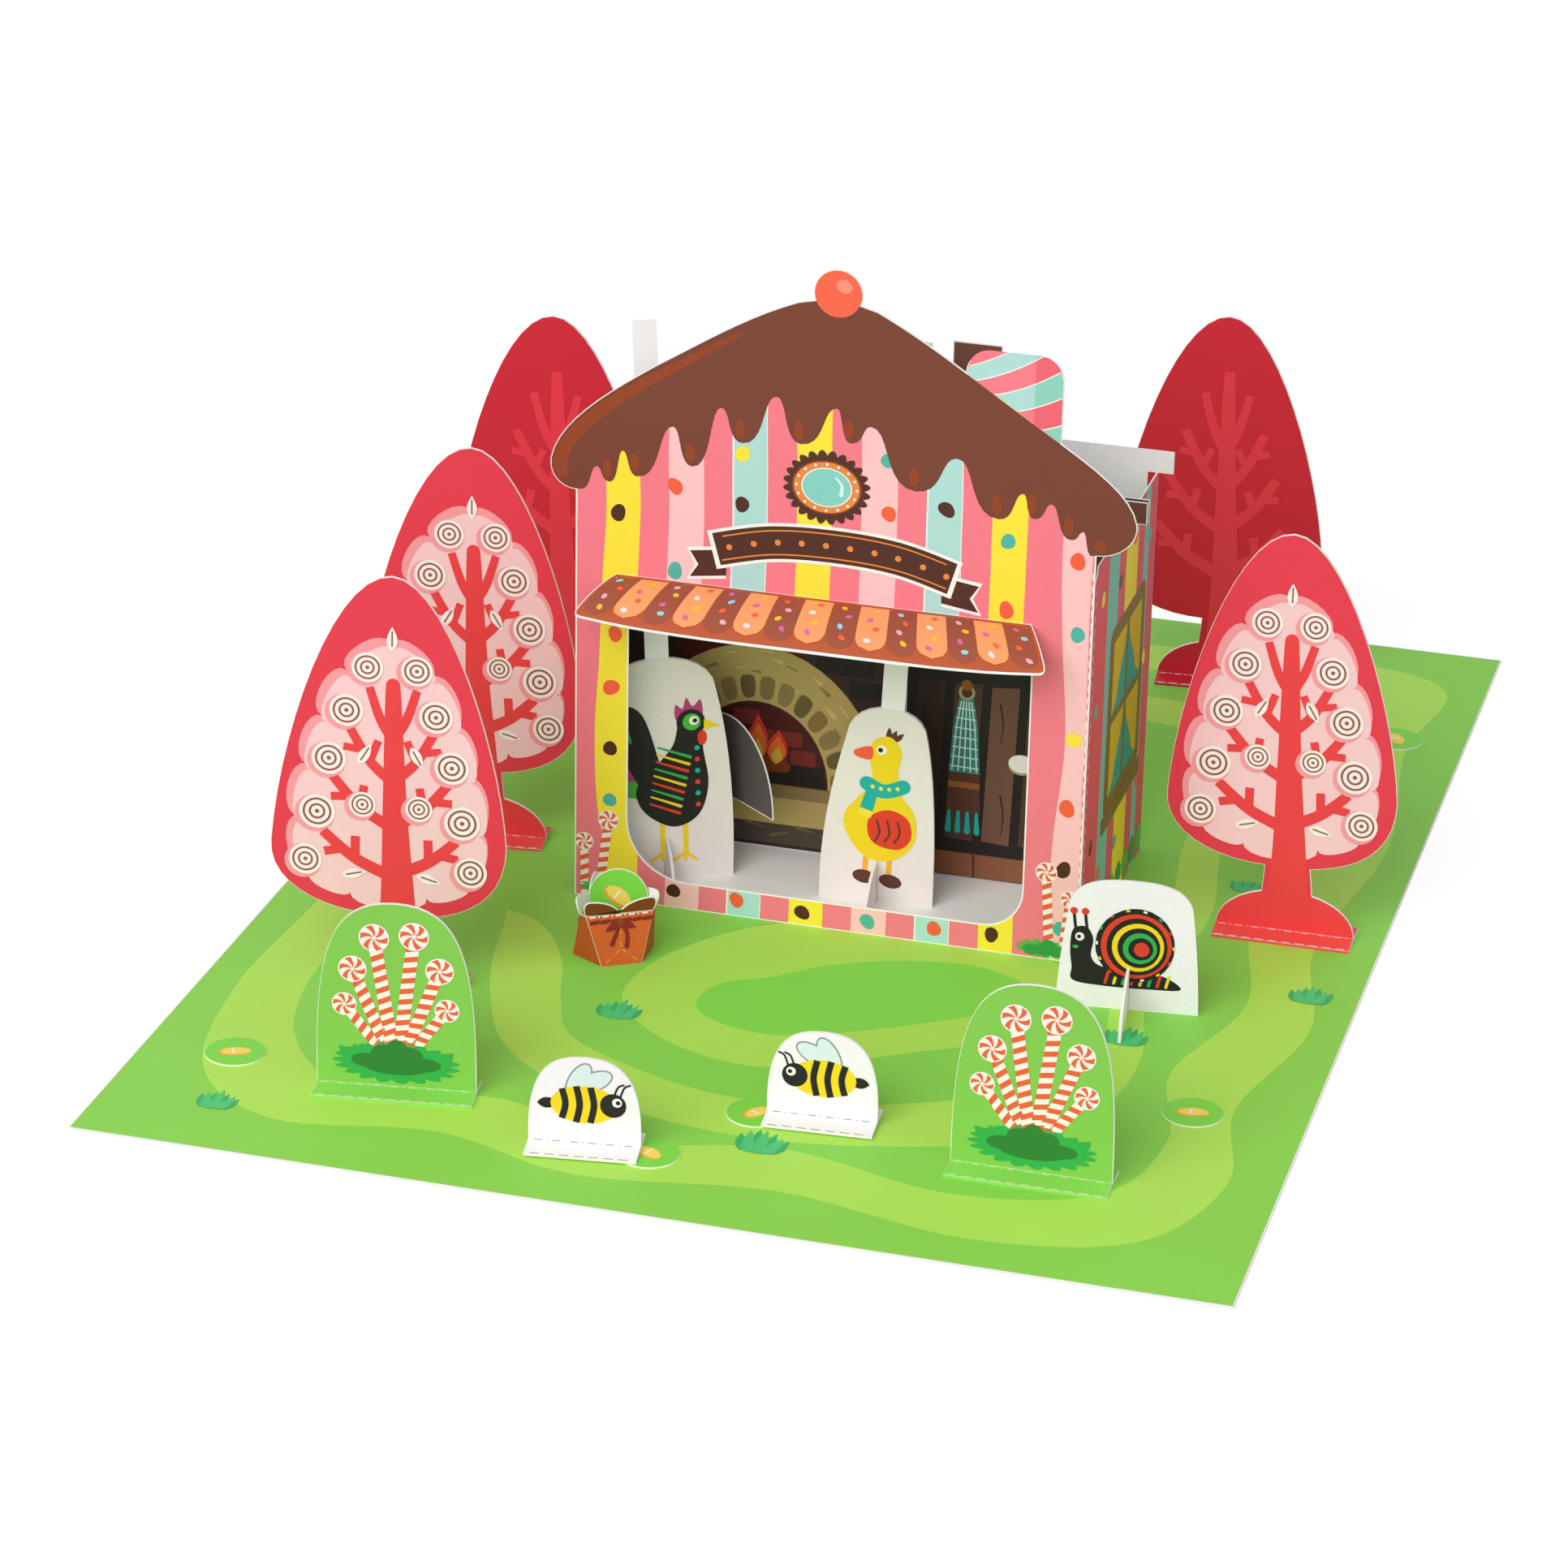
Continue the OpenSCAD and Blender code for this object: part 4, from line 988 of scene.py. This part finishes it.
makeSideScene()
print("theatre: side scene printed")

# folded feet: ink runs over the flaps and their outer folds; cut marks stand along both folds
foot = {"reach": 7.7, "slope": 0.055, "seat": 0.4, "high": 1.7, "inset": 0.5, "fold": -0.85}


def footPrint(name, sides, mat):
    for tag, aim in (("top", (0, 0, 1)), ("front", sides[0][2]), ("rear", sides[1][2])):
        facePrint(name + "_foot_" + tag, name + "_foot", name, aim, mat, edge=0.05, spread=0.9)


def foldMarks(name, x, y, turn, half, hue, high=foot["high"]):
    c, s = math.cos(math.radians(turn)), math.sin(math.radians(turn))
    drop = lambda v: foot["slope"] * max(0.0, abs(v) - foot["seat"])
    at = lambda u, v, h: Vector((x + u * c - v * s, y + u * s + v * c, high - drop(v) + h)) * mm
    across = lambda v: ((-half + foot["inset"], v), (half - foot["inset"], v))
    cutHue, cutIn, cutWide = ("ribbon", 0.2, 0.22) if hue == "greyLine" else (hue, 0.4, 0.4)
    strokes = [(hue, dashes(*across(foot["fold"]), 2.0, 1.1, 0.36, True), 0),
               (cutHue, dashes(*across(cutIn - foot["reach"]), 2.4, 1.3, cutWide), 0)]
    stickyPrint(name + "_fold", name, at, strokes, "white_card", lift=0.06)


# trees (x, y, turn, lean, light front): light print on one face, dark print on the other
trees = {"places": [(-98.0, -108.0, 9, -1.4, True), (-107.4, -11.2, 7, -0.2, True),
                    (-119.5, 102.0, 5, 0.4, False), (68.8, 166.5, 5, 0.2, False),
                    (121.3, -3.6, 1, 0.7, True)],
         "foot": 1.7, "out": 0.4, "footHalf": 19.0, "mound": (18.75, 11.5),
         "cloud": [(8, 25), (19, 29), (21.5, 44), (19, 59), (15, 73), (9, 86.5), (-2, 95),
                   (-13.4, 86.5), (-19.4, 73), (-23.4, 59), (-25.9, 44), (-23.4, 29), (-12.4, 25)],
         "boughs": [(30, -20, 42), (31, 15.5, 42), (44, -17.5, 58), (45, 13, 58), (57, -13, 72), (58, 9, 72),
                    (69, -8, 84), (70, 4.5, 84)],
         "twigs": [(0.5, 6.4, 58), (0.74, 5.0, -52)], "twigTop": 65,
         "rounds": [(-21.5, 47.5, 4.8), (17, 47.5, 4.8), (-18.5, 63, 4.6), (14, 63, 4.6),
                    (-14, 77, 4.5), (9.6, 77, 4.5), (-8.6, 89.5, 4.2), (4.4, 89.5, 4.2),
                    (-24.5, 33.5, 4.4), (19.5, 33.5, 4.4), (-9.5, 50.5, 3.6), (5.5, 50.5, 3.6)],
         "leaves": [(-11.5, 30.5, 15), (8.5, 30.5, -15), (-9, 65, 60), (4.8, 65, -60), (-2.2, 98, 90)]}


def lobes(points, bulge, dx=0.0, dy=0.0):
    # a cloud outline: a round swelling between each two points
    pts = []
    for a, b in zip(points, points[1:] + points[:1]):
        d = Vector((b[0] - a[0], b[1] - a[1]))
        out = Vector((d.y, -d.x)) * bulge
        a, b = Vector(a), Vector(b)
        swell = curve(a, a + out * 1.25 - d * 0.06, b + out * 1.25 + d * 0.06, b, 9)
        pts += [(x + dx, y + dy) for x, y in swell]
    return [pts]


def bough(v, u2, v2, width, hue, layer):
    # a limb with two cut twigs, one on each side
    base = (-0.4 - (v - 20) * 0.018, v)
    knee = (base[0] + (u2 - base[0]) * 0.55, v + (v2 - v) * 0.4)
    path = spline([base, knee, (u2, v2)], 6)
    side = 1 if u2 > 0 else -1
    layer += 0.9 if side > 0 else 0.0
    out = [(hue, band(path, [width, width * 0.78], False), layer)]
    for k, (share, reach, turn) in enumerate(trees["twigs"] if v < trees["twigTop"] else ()):
        i = int(share * (len(path) - 1))
        d = Matrix.Rotation(math.radians(turn * side), 2) @ heading(path, i)
        tip = Vector(path[i]) + d * reach
        out.append((hue, band([path[i], tuple(tip)], width * 0.68, False), layer + 2 + 2 * k))
    return out


def mound(half, tall, n=24):
    return [[ringPoint(0, 0.2, half, tall, math.pi * i / n) for i in range(n + 1)]]


def lightTree():
    rounds = trees["rounds"]
    trunk = spline([(0.2, 9), (0.2, 24), (-0.9, 50), (-1.8, 85)])
    s = [("leafPink", lobes(trees["cloud"], 0.3, -0.7, 1.7), 0), ("leafPale", lobes(trees["cloud"], 0.22), 1),
         ("branchRed", mound(*trees["mound"]), 1), ("branchRed", band(trunk, [11.8, 3.8]), 2)]
    for v, u2, v2 in trees["boughs"]:
        s += bough(v, u2, v2, 3.5 - (v - 34) * 0.018, "branchRed", 3)
    rings = [q for u, v, r in rounds for k in (0.74, 0.4) for q in hoop(u, v, r * k, r * 0.13)]
    s += [("leafPink", [q for u, v, r in rounds for q in oval(u - 0.7, v - 0.6, r + 0.5)], 9),
          ("roundWhite", [q for u, v, r in rounds for q in oval(u, v, r)], 10), ("roundLine", rings, 11),
          ("roundLine", [q for u, v, r in rounds for q in oval(u, v, r * 0.13, n=10)], 11)]
    for u, v, turn in trees["leaves"]:
        d = Vector((math.cos(math.radians(turn)), math.sin(math.radians(turn)))) * 3.4
        along = lambda k: (u + d.x * k, v + d.y * k)
        s += [("roundWhite", petal(along(-1), along(1), 2.9), 10),
              ("roundLine", band([along(-0.6), along(0.6)], 0.45), 11)]
    return s


def darkTree():
    trunk = spline([(0.2, 1), (0.3, 24), (-0.9, 60), (-1.6, 98)])
    s = [("branchDark", band(trunk, [11.6, 3.0], False), 1)]
    for v, u2, v2 in trees["boughs"]:
        s += bough(v + 3, u2 * 1.08, v2 + 7, 3.8 - (v - 34) * 0.018, "branchDark", 2)
    return s


def makeTrees():
    for i, (x, y, turn, lean, light) in enumerate(trees["places"]):
        name = "tree_%d" % (i + 1)
        slotName = "red_print" if light else "dark_red_print"
        sides = upright(x, y, turn, trees["foot"], trees["out"], lean)
        for tag, at, aim, flip in sides:
            bright = light != flip    # the two faces differ
            base, art = ("treeRed", lightTree()) if bright else ("treeDark", darkTree())
            facePrint(name + tag + "_ink", name + tag, name, aim, ink(base))
            stickyPrint(name + tag + "_art", name, at, art, slotName, flip=flip)
        # a light tree's feet take the lighter red: painted light on the flaps
        footPrint(name, sides, ink("footRedLit" if light else "treeDark"))
        foldMarks(name, x, y, turn, trees["footHalf"], "icing")


makeTrees()
print("theatre: trees printed")

# bushes (x, y, turn): a fan of striped sticks (turn, length, width) over leaves
bushes = {"places": [(-77.2, -165.4, 8.6), (87.5, -160.4, 0.4)],
          "foot": 1.7, "out": 0.4, "half": 20.6, "root": 7.5,
          "fan": [(-24, 25, 3.2), (-9, 32, 3.4), (8, 33, 3.4), (24, 26, 3.2), (-42, 18, 2.8), (42, 18, 2.8)],
          "shade": [(0, 5.8, 8.6, 2.5), (-7.4, 7.0, 4.2, 2.0), (7.0, 6.6, 4.6, 1.9), (-3.2, 9.0, 3.4, 2.7),
                    (3.4, 8.8, 3.6, 2.5), (0.2, 10.6, 2.7, 2.6)]}


def bushArt():
    s, root = [], bushes["root"]
    for i, (deg, tall, wide) in enumerate(bushes["fan"]):
        a = math.radians(deg)
        tip = (math.sin(a) * tall, root + math.cos(a) * tall)
        s += peppermintStick((math.sin(a) * 3.0, root), tip, wide, 1 + i % 2)
    s.append(("bushLeaf", scallops(0, 6.6, 4.7, 19, 1.1, rx=2.85), 5))
    for i in range(9):
        u = -13 + i * 3.25
        s.append(("bushLeaf", petal((u * 0.7, 5.6), (u * 1.14, 13.4 - abs(u) * 0.22), 4.2), 6))
    return s + [("bushDark", oval(*spot), 7) for spot in bushes["shade"]]


def makeBushes():
    for i, (x, y, turn) in enumerate(bushes["places"]):
        name = "bush_%d" % (i + 1)
        sides = upright(x, y, turn, bushes["foot"], bushes["out"])
        for side in sides:
            facePrint(name + side[0] + "_ink", name + side[0], name, side[2], ink("bush"))
            printBoth(name, [side], bushArt(), "leaf_print")
        # the feet take the lighter green: painted light on the flaps
        footPrint(name, sides, ink("footGreenLit"))
        foldMarks(name, x, y, turn, bushes["half"], "cream")


makeBushes()
print("theatre: bushes printed")

# small white cards (x, y, turn, which way it flies) with a bee on each
beeCards = {"places": [(-22.2, -180.5, 8.2, 1), (30.5, -148.6, 4.1, -1)],
            "foot": 2.2, "out": 0.4, "half": 13.5,
            "wings": [(62, -1.5, 17.2), (28, 2.2, 17.0)], "bands": (-5.2, -1.6, 2.0)}


def beeArt(side):
    s = []
    for turn, u, v in beeCards["wings"]:
        s += [("greyLine", oval(u, v, 5.4, 2.7, turn), 1), ("wing", oval(u, v, 5.0, 2.3, turn), 2)]
    s += [("inkBlack", petal((-12, 10.2), (-6, 10.6), 3.0), 2), ("strongYellow", oval(0, 10.5, 8.6, 5.2), 3)]
    for u in beeCards["bands"]:
        h = 5.1 * math.sqrt(1 - ((u + 0.2) / 8.6) ** 2)
        path = spline([(u - 0.5, 10.5 - h), (u + 0.4, 10.5), (u - 0.5, 10.5 + h)])
        s.append(("inkBlack", band(path, 1.7, False), 4))
    s += [("inkBlack", oval(7.2, 10.8, 3.3), 4), ("icing", oval(8.2, 11.7, 1.25), 5),
          ("inkBlack", oval(8.45, 11.7, 0.6, n=12), 6)]
    for d in (0, 1.6):
        s.append(("inkBlack", band(spline([(7.4 + d, 13.4), (8.4 + d, 16.0), (9.8 + d, 16.8)]), 0.5), 4))
    return [(hue, [[(side * x, y) for x, y in poly] for poly in shape], layer) for hue, shape, layer in s]


def makeBees():
    for i, (x, y, turn, side) in enumerate(beeCards["places"]):
        name = "small_card_%d" % (i + 1)
        printBoth(name, upright(x, y, turn, beeCards["foot"], beeCards["out"]), beeArt(side), "white_card")
        foldMarks(name, x, y, turn, beeCards["half"], "greyLine", beeCards["foot"])


makeBees()
print("theatre: bee cards printed")

# card with a snail, its shell in rings of many colours
snail = {"place": (90.2, -62.6, 7.0, 0.5, 0.4), "shell": (1.5, 19.0, 10.6), "ringStep": 0.115,
         "rings": ("inkBlack", "strongRed", "inkBlack", "strongYellow", "inkBlack", "strongGreen",
                   "inkBlack", "strongRed"),
         "beads": ("strongYellow", "strongRed", "strongGreen", "icing"), "bead": (0.93, 0.985),
         "body": [(-14.5, 7.6), (-6, 6.6), (6, 6.6), (14.0, 7.2), (10, 10.4), (2, 12.0), (-7, 12.2),
                  (-10, 15), (-9.6, 20), (-11.6, 23.4), (-15, 22.4), (-15.6, 17), (-15.0, 11.5)]}
brightInks = ("strongRed", "strongYellow", "strongGreen")


def snailArt():
    cx, cy, r = snail["shell"]
    s = [("inkBlack", blob(snail["body"], 5), 1)]
    for u in (-14.2, -11.2):
        s += [("inkBlack", band([(u, 21.5), (u - 0.8, 27.4)], 0.8), 1),
              ("strongRed", oval(u - 0.8, 27.8, 1.0), 2)]
    s += [("icing", oval(-13.2, 20.4, 1.2), 2), ("inkBlack", oval(-13.4, 20.4, 0.55, n=12), 3),
          ("strongGreen", oval(-14.2, 17.4, 0.8, 0.5), 2)]
    for i in range(8):
        u = -6 + i * 2.3
        s.append((brightInks[i % 3], band([(u, 7.6), (u + 0.7, 10.6)], 0.8), 2))
    for k, hue in enumerate(snail["rings"]):
        q = 1 - k * snail["ringStep"]
        ring = oval(cx + (1 - q) * 2.2, cy - (1 - q) * 1.2, r * q, turn=k * 20, wobble=0.012, seed=k)
        s.append((hue, ring, 3 + k))
    for k in range(14):
        bead = [ringPoint(cx, cy, r * q, r * q, k * math.pi / 7) for q in snail["bead"]]
        s.append((snail["beads"][k % 4], band(bead, 1.0, False), 4))
    return s


printBoth("animal", upright(*snail["place"]), snailArt(), "white_card")
print("theatre: snail card printed")

# hand puppets (x, y, turn, foot, out): a dark rooster and a yellow goose
puppets = {"left": (-49.5, -22.0, 25.0, 0.9, 0.6), "right": (10.0, -18.9, 4.0, 0.9, 0.6)}
rooster = {"tail": [("strongGreen", -15, 47, 4.2), ("inkBlack", -16.2, 40, 4.4), ("magenta", -16, 33, 4.0),
                    ("inkBlack", -12.5, 50.5, 4.0), ("leafGreen", -15.2, 26.5, 3.4)],
           "body": [(-6, 20), (2, 15.5), (9, 19), (11.5, 28), (10, 38), (8.5, 47), (3.5, 48),
                    (1.5, 40), (-4, 33), (-8.5, 27)],
           "comb": [(2.6, 47), (2.0, 52), (4.0, 50.8), (5.0, 54), (6.8, 51.4), (9.0, 53.4), (9.2, 47.4)]}
goose = {"body": [(-8.6, 20), (-3, 13.2), (5, 13.2), (10.4, 19), (10.2, 27), (6.2, 33), (5.4, 40),
                  (6.2, 45.4), (3, 49.6), (-1.6, 48.2), (-2.6, 43), (-1.8, 36), (-5.6, 31), (-9.2, 26)],
         "wing": [(0, 17.2), (6, 16.4), (9.4, 20), (8.4, 25.6), (3, 28), (-2.2, 25.4), (-2.6, 20.4)],
         "beak": [(-2.2, 46.4), (-6.8, 45.0), (-6.4, 43.2), (-2.2, 42.6)]}


def roosterArt():
    s = []
    for k, (hue, u, v, wide) in enumerate(rooster["tail"]):
        path = spline([(-3, 26), ((u - 3) * 0.55, v * 0.8 + 6), (u, v)], 6)
        s.append((hue, band(path, [6.5, wide]), 1 + k % 2))
    s += [("inkBlack", blob(rooster["body"], 6), 4), ("magenta", blob(rooster["comb"], 4), 3),
          ("inkBlack", oval(6.4, 46.6, 4.0), 5),
          ("strongYellow", [[(10, 47.6), (14.6, 45.4), (10, 44.4)]], 5),
          ("strongRed", oval(9.6, 42.0, 1.3, 2.2), 6), ("leafGreen", oval(6.6, 46.8, 2.5), 6),
          ("icing", oval(7.2, 47.2, 1.35), 7), ("inkBlack", oval(7.5, 47.2, 0.65, n=12), 8)]
    for k in range(9):
        v = 19.5 + k * 2.1
        path = [(-4.6 + 0.25 * k, v + 3.2), (3.6 + 0.35 * k, v)]
        s.append((brightInks[k % 3], band(path, [0.5, 0.9]), 5))
    for k in range(6):
        s.append((("strongRed", "seaTeal")[k % 2], oval(8.8 - 0.12 * k, 22 + k * 3.4, 0.75, n=12), 6))
    for u in (-1.2, 5.2):
        s.append(("strongYellow", band([(u, 17), (u + 0.4, 7.5)], 1.4), 3))
        for d in (-3.0, 0.2, 3.4):
            s.append(("strongYellow", band([(u + 0.4, 7.6), (u + d, 5.2)], [1.2, 0.7]), 3))
    return s


def gooseArt():
    s = [("boot", oval(-3.4, 7.4, 3.2, 2.0, -8), 2), ("boot", oval(4.0, 6.6, 3.2, 2.0, -12), 2)]
    for u in (-3.0, 3.6):
        s.append(("skin", band([(u, 13), (u - 0.2, 8.2)], 1.5), 1))
    s += [("strongYellow", blob(goose["body"], 6), 3), ("strongRed", blob(goose["wing"], 6), 4)]
    for k in range(3):
        path = spline([(-0.6 + k * 2.7, 18.4), (0.6 + k * 2.8, 21), (-0.2 + k * 2.9, 24.6)])
        s.append(("boot", band(path, 0.6), 5))
    s += [("seaTeal", band(spline([(-3.2, 35.4), (1.6, 33.4), (6.8, 35.2)]), 4.2), 5),
          ("seaTeal", band([(-1.6, 33.4), (-3.6, 26.4)], [3.4, 3.8], False), 5),
          ("lemon", band([(-3.2, 27.6), (-3.8, 25.6)], 3.8, False), 6)]
    for k in range(4):
        s.append(("lemon", oval(-1.6 + k * 2.3, 34.6 - 0.5 * math.sin(k), 0.6, n=10), 6))
    s += [("orangeDot", blob(goose["beak"], 4), 4), ("icing", oval(0.6, 45.6, 1.4), 5),
          ("inkBlack", oval(0.3, 45.6, 0.7, n=12), 6)]
    for k in range(3):
        s.append(("boot", petal((2.4 + k * 0.8, 48.4), (2.6 + k * 2.0, 52.6 - k * 0.8), 1.6), 2))
    return s


for side, art in (("left", roosterArt()), ("right", gooseArt())):
    printBoth(side + "_puppet", upright(*puppets[side]), art, "white_card")
print("theatre: puppets printed")

# basket: printed card with stitched folds and a tied ribbon
basket = {"place": (-49.6, -70.1), "turn": 1.3, "foot": 0.5, "tall": 13.8, "bottom": 11.2,
          "long": 18.5, "short": 2.5, "lean": 14.0, "knot": 4.6, "loops": [(-4.2, 4.6), (4.4, 4.2)],
          "tails": [((-1.2, 5.6), (-2.4, 8.2)), ((1.9, 5.6), (1.6, 9.0))]}
root3 = math.sqrt(3)


def cupTurn(k):
    return math.radians(basket["turn"] - 60 + 60 * k)


def cupReach(k):
    # from the middle to the rim at a long side, which is every second one, or at a short one
    parts = (1, 2) if k % 2 == 0 else (2, 1)
    return (parts[0] * basket["long"] + parts[1] * basket["short"]) / (2 * root3)


def cupFrame(k):
    # one long side of the cup: the middle of its lower edge, its directions and its height
    a = cupTurn(2 * k)
    out, along = Vector((math.cos(a), math.sin(a), 0)), Vector((-math.sin(a), math.cos(a), 0))
    spot = Vector((*basket["place"], basket["foot"]))
    low = spot + out * (basket["bottom"] * root3 / 2)
    high = spot + out * cupReach(0) + Vector((0, 0, basket["tall"]))
    up = (high - low).normalized()
    return low, along, up, along.cross(up).normalized(), (high - low).length


def cupArt(tall, tied):
    half, foot, knot = basket["long"] / 2, basket["bottom"] / 2, (0, basket["knot"])
    s = []
    for end in ((0, tall - 1.6), (-foot + 1, 0.7), (foot - 1, 0.7)):
        s.append(("stitch", dashes(knot, end, 1.5, 0.9, 0.3, True), 1))
    s.append(("icing", dashes((-half + 0.6, tall - 0.35), (half - 0.6, tall - 0.35), 1.6, 0.8, 0.4, True), 2))
    for i in range(6):
        u = -half + 1.5 + i * 2.9
        s.append(("ribbon", band([(u, tall - 1.9), (u + 1.9, tall - 1.7)], 1.1), 3))
    if tied:
        s += [("ribbon", petal((0.2, tall - 2.2), (u, tall - v), 2.2), 4) for u, v in basket["loops"]]
        for tail in basket["tails"]:
            path = spline([(u, tall - v) for u, v in ((0.2, 2.4), *tail)])
            s.append(("ribbon", band(path, [1.0, 1.3]), 4))
        s.append(("crustDark", oval(0.2, tall - 2.3, 0.9), 5))
    return s


def makeBasket():
    cx, cy = basket["place"]
    for i in range(6):
        slope = (cupReach(i) - basket["bottom"] * root3 / 2) / basket["tall"]
        aim = Vector((math.cos(cupTurn(i)), math.sin(cupTurn(i)), -slope))
        facePrint("basket_side_%d" % i, "basket_cup", "basket", aim, ink("crustSide" if i % 2 else "crust"),
                  edge=0.06, spread=0.985,
                  keep=lambda p: Vector((p.x - cx, p.y - cy, 0)).dot(aim) > 5.0)
    for k in range(3):
        low, along, up, out, tall = cupFrame(k)
        at = lambda u, v, h: (low + along * u + up * v + out * h) * mm
        stickyPrint("basket_art_%d" % k, "basket", at, cupArt(tall, k == 0), "basket_print")
        a, lean = cupTurn(2 * k), math.radians(basket["lean"])
        aim = (math.cos(a) * math.cos(lean), math.sin(a) * math.cos(lean), -math.sin(lean))
        facePrint("basket_flap_%d" % k, "basket_flaps", "basket", aim, ink("crustDark"),
                  edge=0.22, spread=0.97)


makeBasket()
print("theatre: basket printed")

# round counters with a crumb: five on the lawn (x, y, turn of the crumb), one in the basket
counters = {"places": [(-123.8, -158.6, 20), (-5.9, -178.9, -35), (13.7, -149.7, 55), (119.1, -115.6, 10),
                       (127.9, 138.4, -60)],
            "top": 0.9, "lift": 0.045, "step": 0.015, "half": 0.2,
            "turn": 14.0, "aside": 1.3, "above": 2.4, "crumb": -40}    # the one in the basket, from its turn


def crumbArt(turn):
    gleam = turned(band([(-1.0, 0.3), (1.1, 0.7)], [0.5, 0.7]), turn + 85)
    return [("crumbEdge", oval(-0.2, -0.2, 4.0, 2.5, turn, 26, 0.05, 3), 0),
            ("crumb", oval(0.15, 0.15, 3.7, 2.15, turn, 26, 0.05, 3), 1), ("icing", gleam, 2)]


def makeCounters():
    thin = {"lift": counters["lift"], "step": counters["step"]}
    for i, (x, y, turn) in enumerate(counters["places"]):
        name = "counter_%d" % (i + 1)
        facePrint(name + "_ink", name, name, (0, 0, 1), ink("lime"), edge=0.07)
        stickyPrint(name + "_art", name, lying(x, y, counters["top"]), crumbArt(turn), "lime_print", **thin)
    a, name = math.radians(basket["turn"] + counters["turn"]), "basket_counter"
    along = Vector((math.cos(a), math.sin(a), 0))
    rim = Vector((*basket["place"], basket["foot"] + basket["tall"]))
    spot = rim + along * counters["aside"] + Vector((0, 0, counters["above"]))
    for sign, tag in ((-1, "_front"), (1, "_back")):
        aim = Vector((-math.sin(a) * sign, math.cos(a) * sign, 0))
        facePrint(name + tag, name, name, aim, ink("lime"), edge=0.18)
        at = lambda u, v, h: (spot + along * u + Vector((0, 0, v)) + aim * (counters["half"] + h)) * mm
        stickyPrint(name + tag + "_art", name, at, crumbArt(counters["crumb"]), "lime_print",
                    flip=sign > 0, **thin)


makeCounters()
print("theatre: counters printed")

# pale floor and soft studio light: lamps as spot, width and power
studio = {"floor": 6.0, "below": 0.0002, "grey": 0.42, "glow": 0.72, "sky": 0.53, "aim": (0, 0, 0.05),
          "warm": (1.0, 0.972, 0.952),
          "lamps": {"key": ((-0.55, -2.05, 1.5), 2.2, 44.5), "fill": ((1.6, -0.9, 0.9), 1.4, 1.6),
                    "front": ((0.4, -1.9, 0.62), 1.1, 3.2)}}


def whiteSeen(tree):
    # 1 where the eye or a reflection looks at the backdrop, 0 for its light
    rays = nodeOf(tree, "LightPath", {}).outputs
    seen = mathOf(tree, "MAXIMUM", rays["Is Camera Ray"], rays["Is Glossy Ray"])
    return mathOf(tree, "MAXIMUM", seen, rays["Is Transmission Ray"])


def makeFloor(scene):
    size, low = studio["floor"] / 2, -studio["below"]
    mesh = bpy.data.meshes.new("floor")
    corners = [(-size, -size, low), (size, -size, low), (size, size, low), (-size, size, low)]
    mesh.from_pydata(corners, [], [(0, 1, 2, 3)])
    floor = bpy.data.objects.new("floor", mesh)
    scene.collection.objects.link(floor)
    mat = bpy.data.materials.new("floor_white")
    mat.use_nodes = True
    tree = mat.node_tree
    tree.nodes.clear()
    soft = nodeOf(tree, "BsdfDiffuse", {"Color": (studio["grey"],) * 3 + (1.0,)})
    level = mathOf(tree, "MULTIPLY", whiteSeen(tree), studio["glow"])
    glow = nodeOf(tree, "Emission", {"Color": (1.0, 1.0, 1.0, 1.0), "Strength": level})
    both = nodeOf(tree, "AddShader", {0: soft.outputs[0], 1: glow.outputs[0]})
    nodeOf(tree, "OutputMaterial", {"Surface": both.outputs[0]})
    mesh.materials.append(mat)


def makeStudio():
    scene = bpy.context.scene
    scene.view_settings.view_transform = "Standard"
    makeFloor(scene)
    for name, (spot, wide, power) in studio["lamps"].items():
        data = bpy.data.lights.new(name, "AREA")
        data.shape, data.size, data.energy, data.color = "DISK", wide, power, studio["warm"]
        lamp = bpy.data.objects.new(name, data)
        lamp.location = spot
        lamp.rotation_euler = (Vector(studio["aim"]) - Vector(spot)).to_track_quat("-Z", "Y").to_euler()
        scene.collection.objects.link(lamp)
    scene.world = bpy.data.worlds.new("studio")
    scene.world.use_nodes = True
    tree = scene.world.node_tree
    back = tree.nodes["Background"]
    back.inputs["Color"].default_value = (1.0, 1.0, 1.0, 1.0)
    level = mathOf(tree, "MULTIPLY_ADD", whiteSeen(tree), 1 - studio["sky"], studio["sky"])
    tree.links.new(level, back.inputs["Strength"])


makeStudio()
print("theatre: floor and light set")
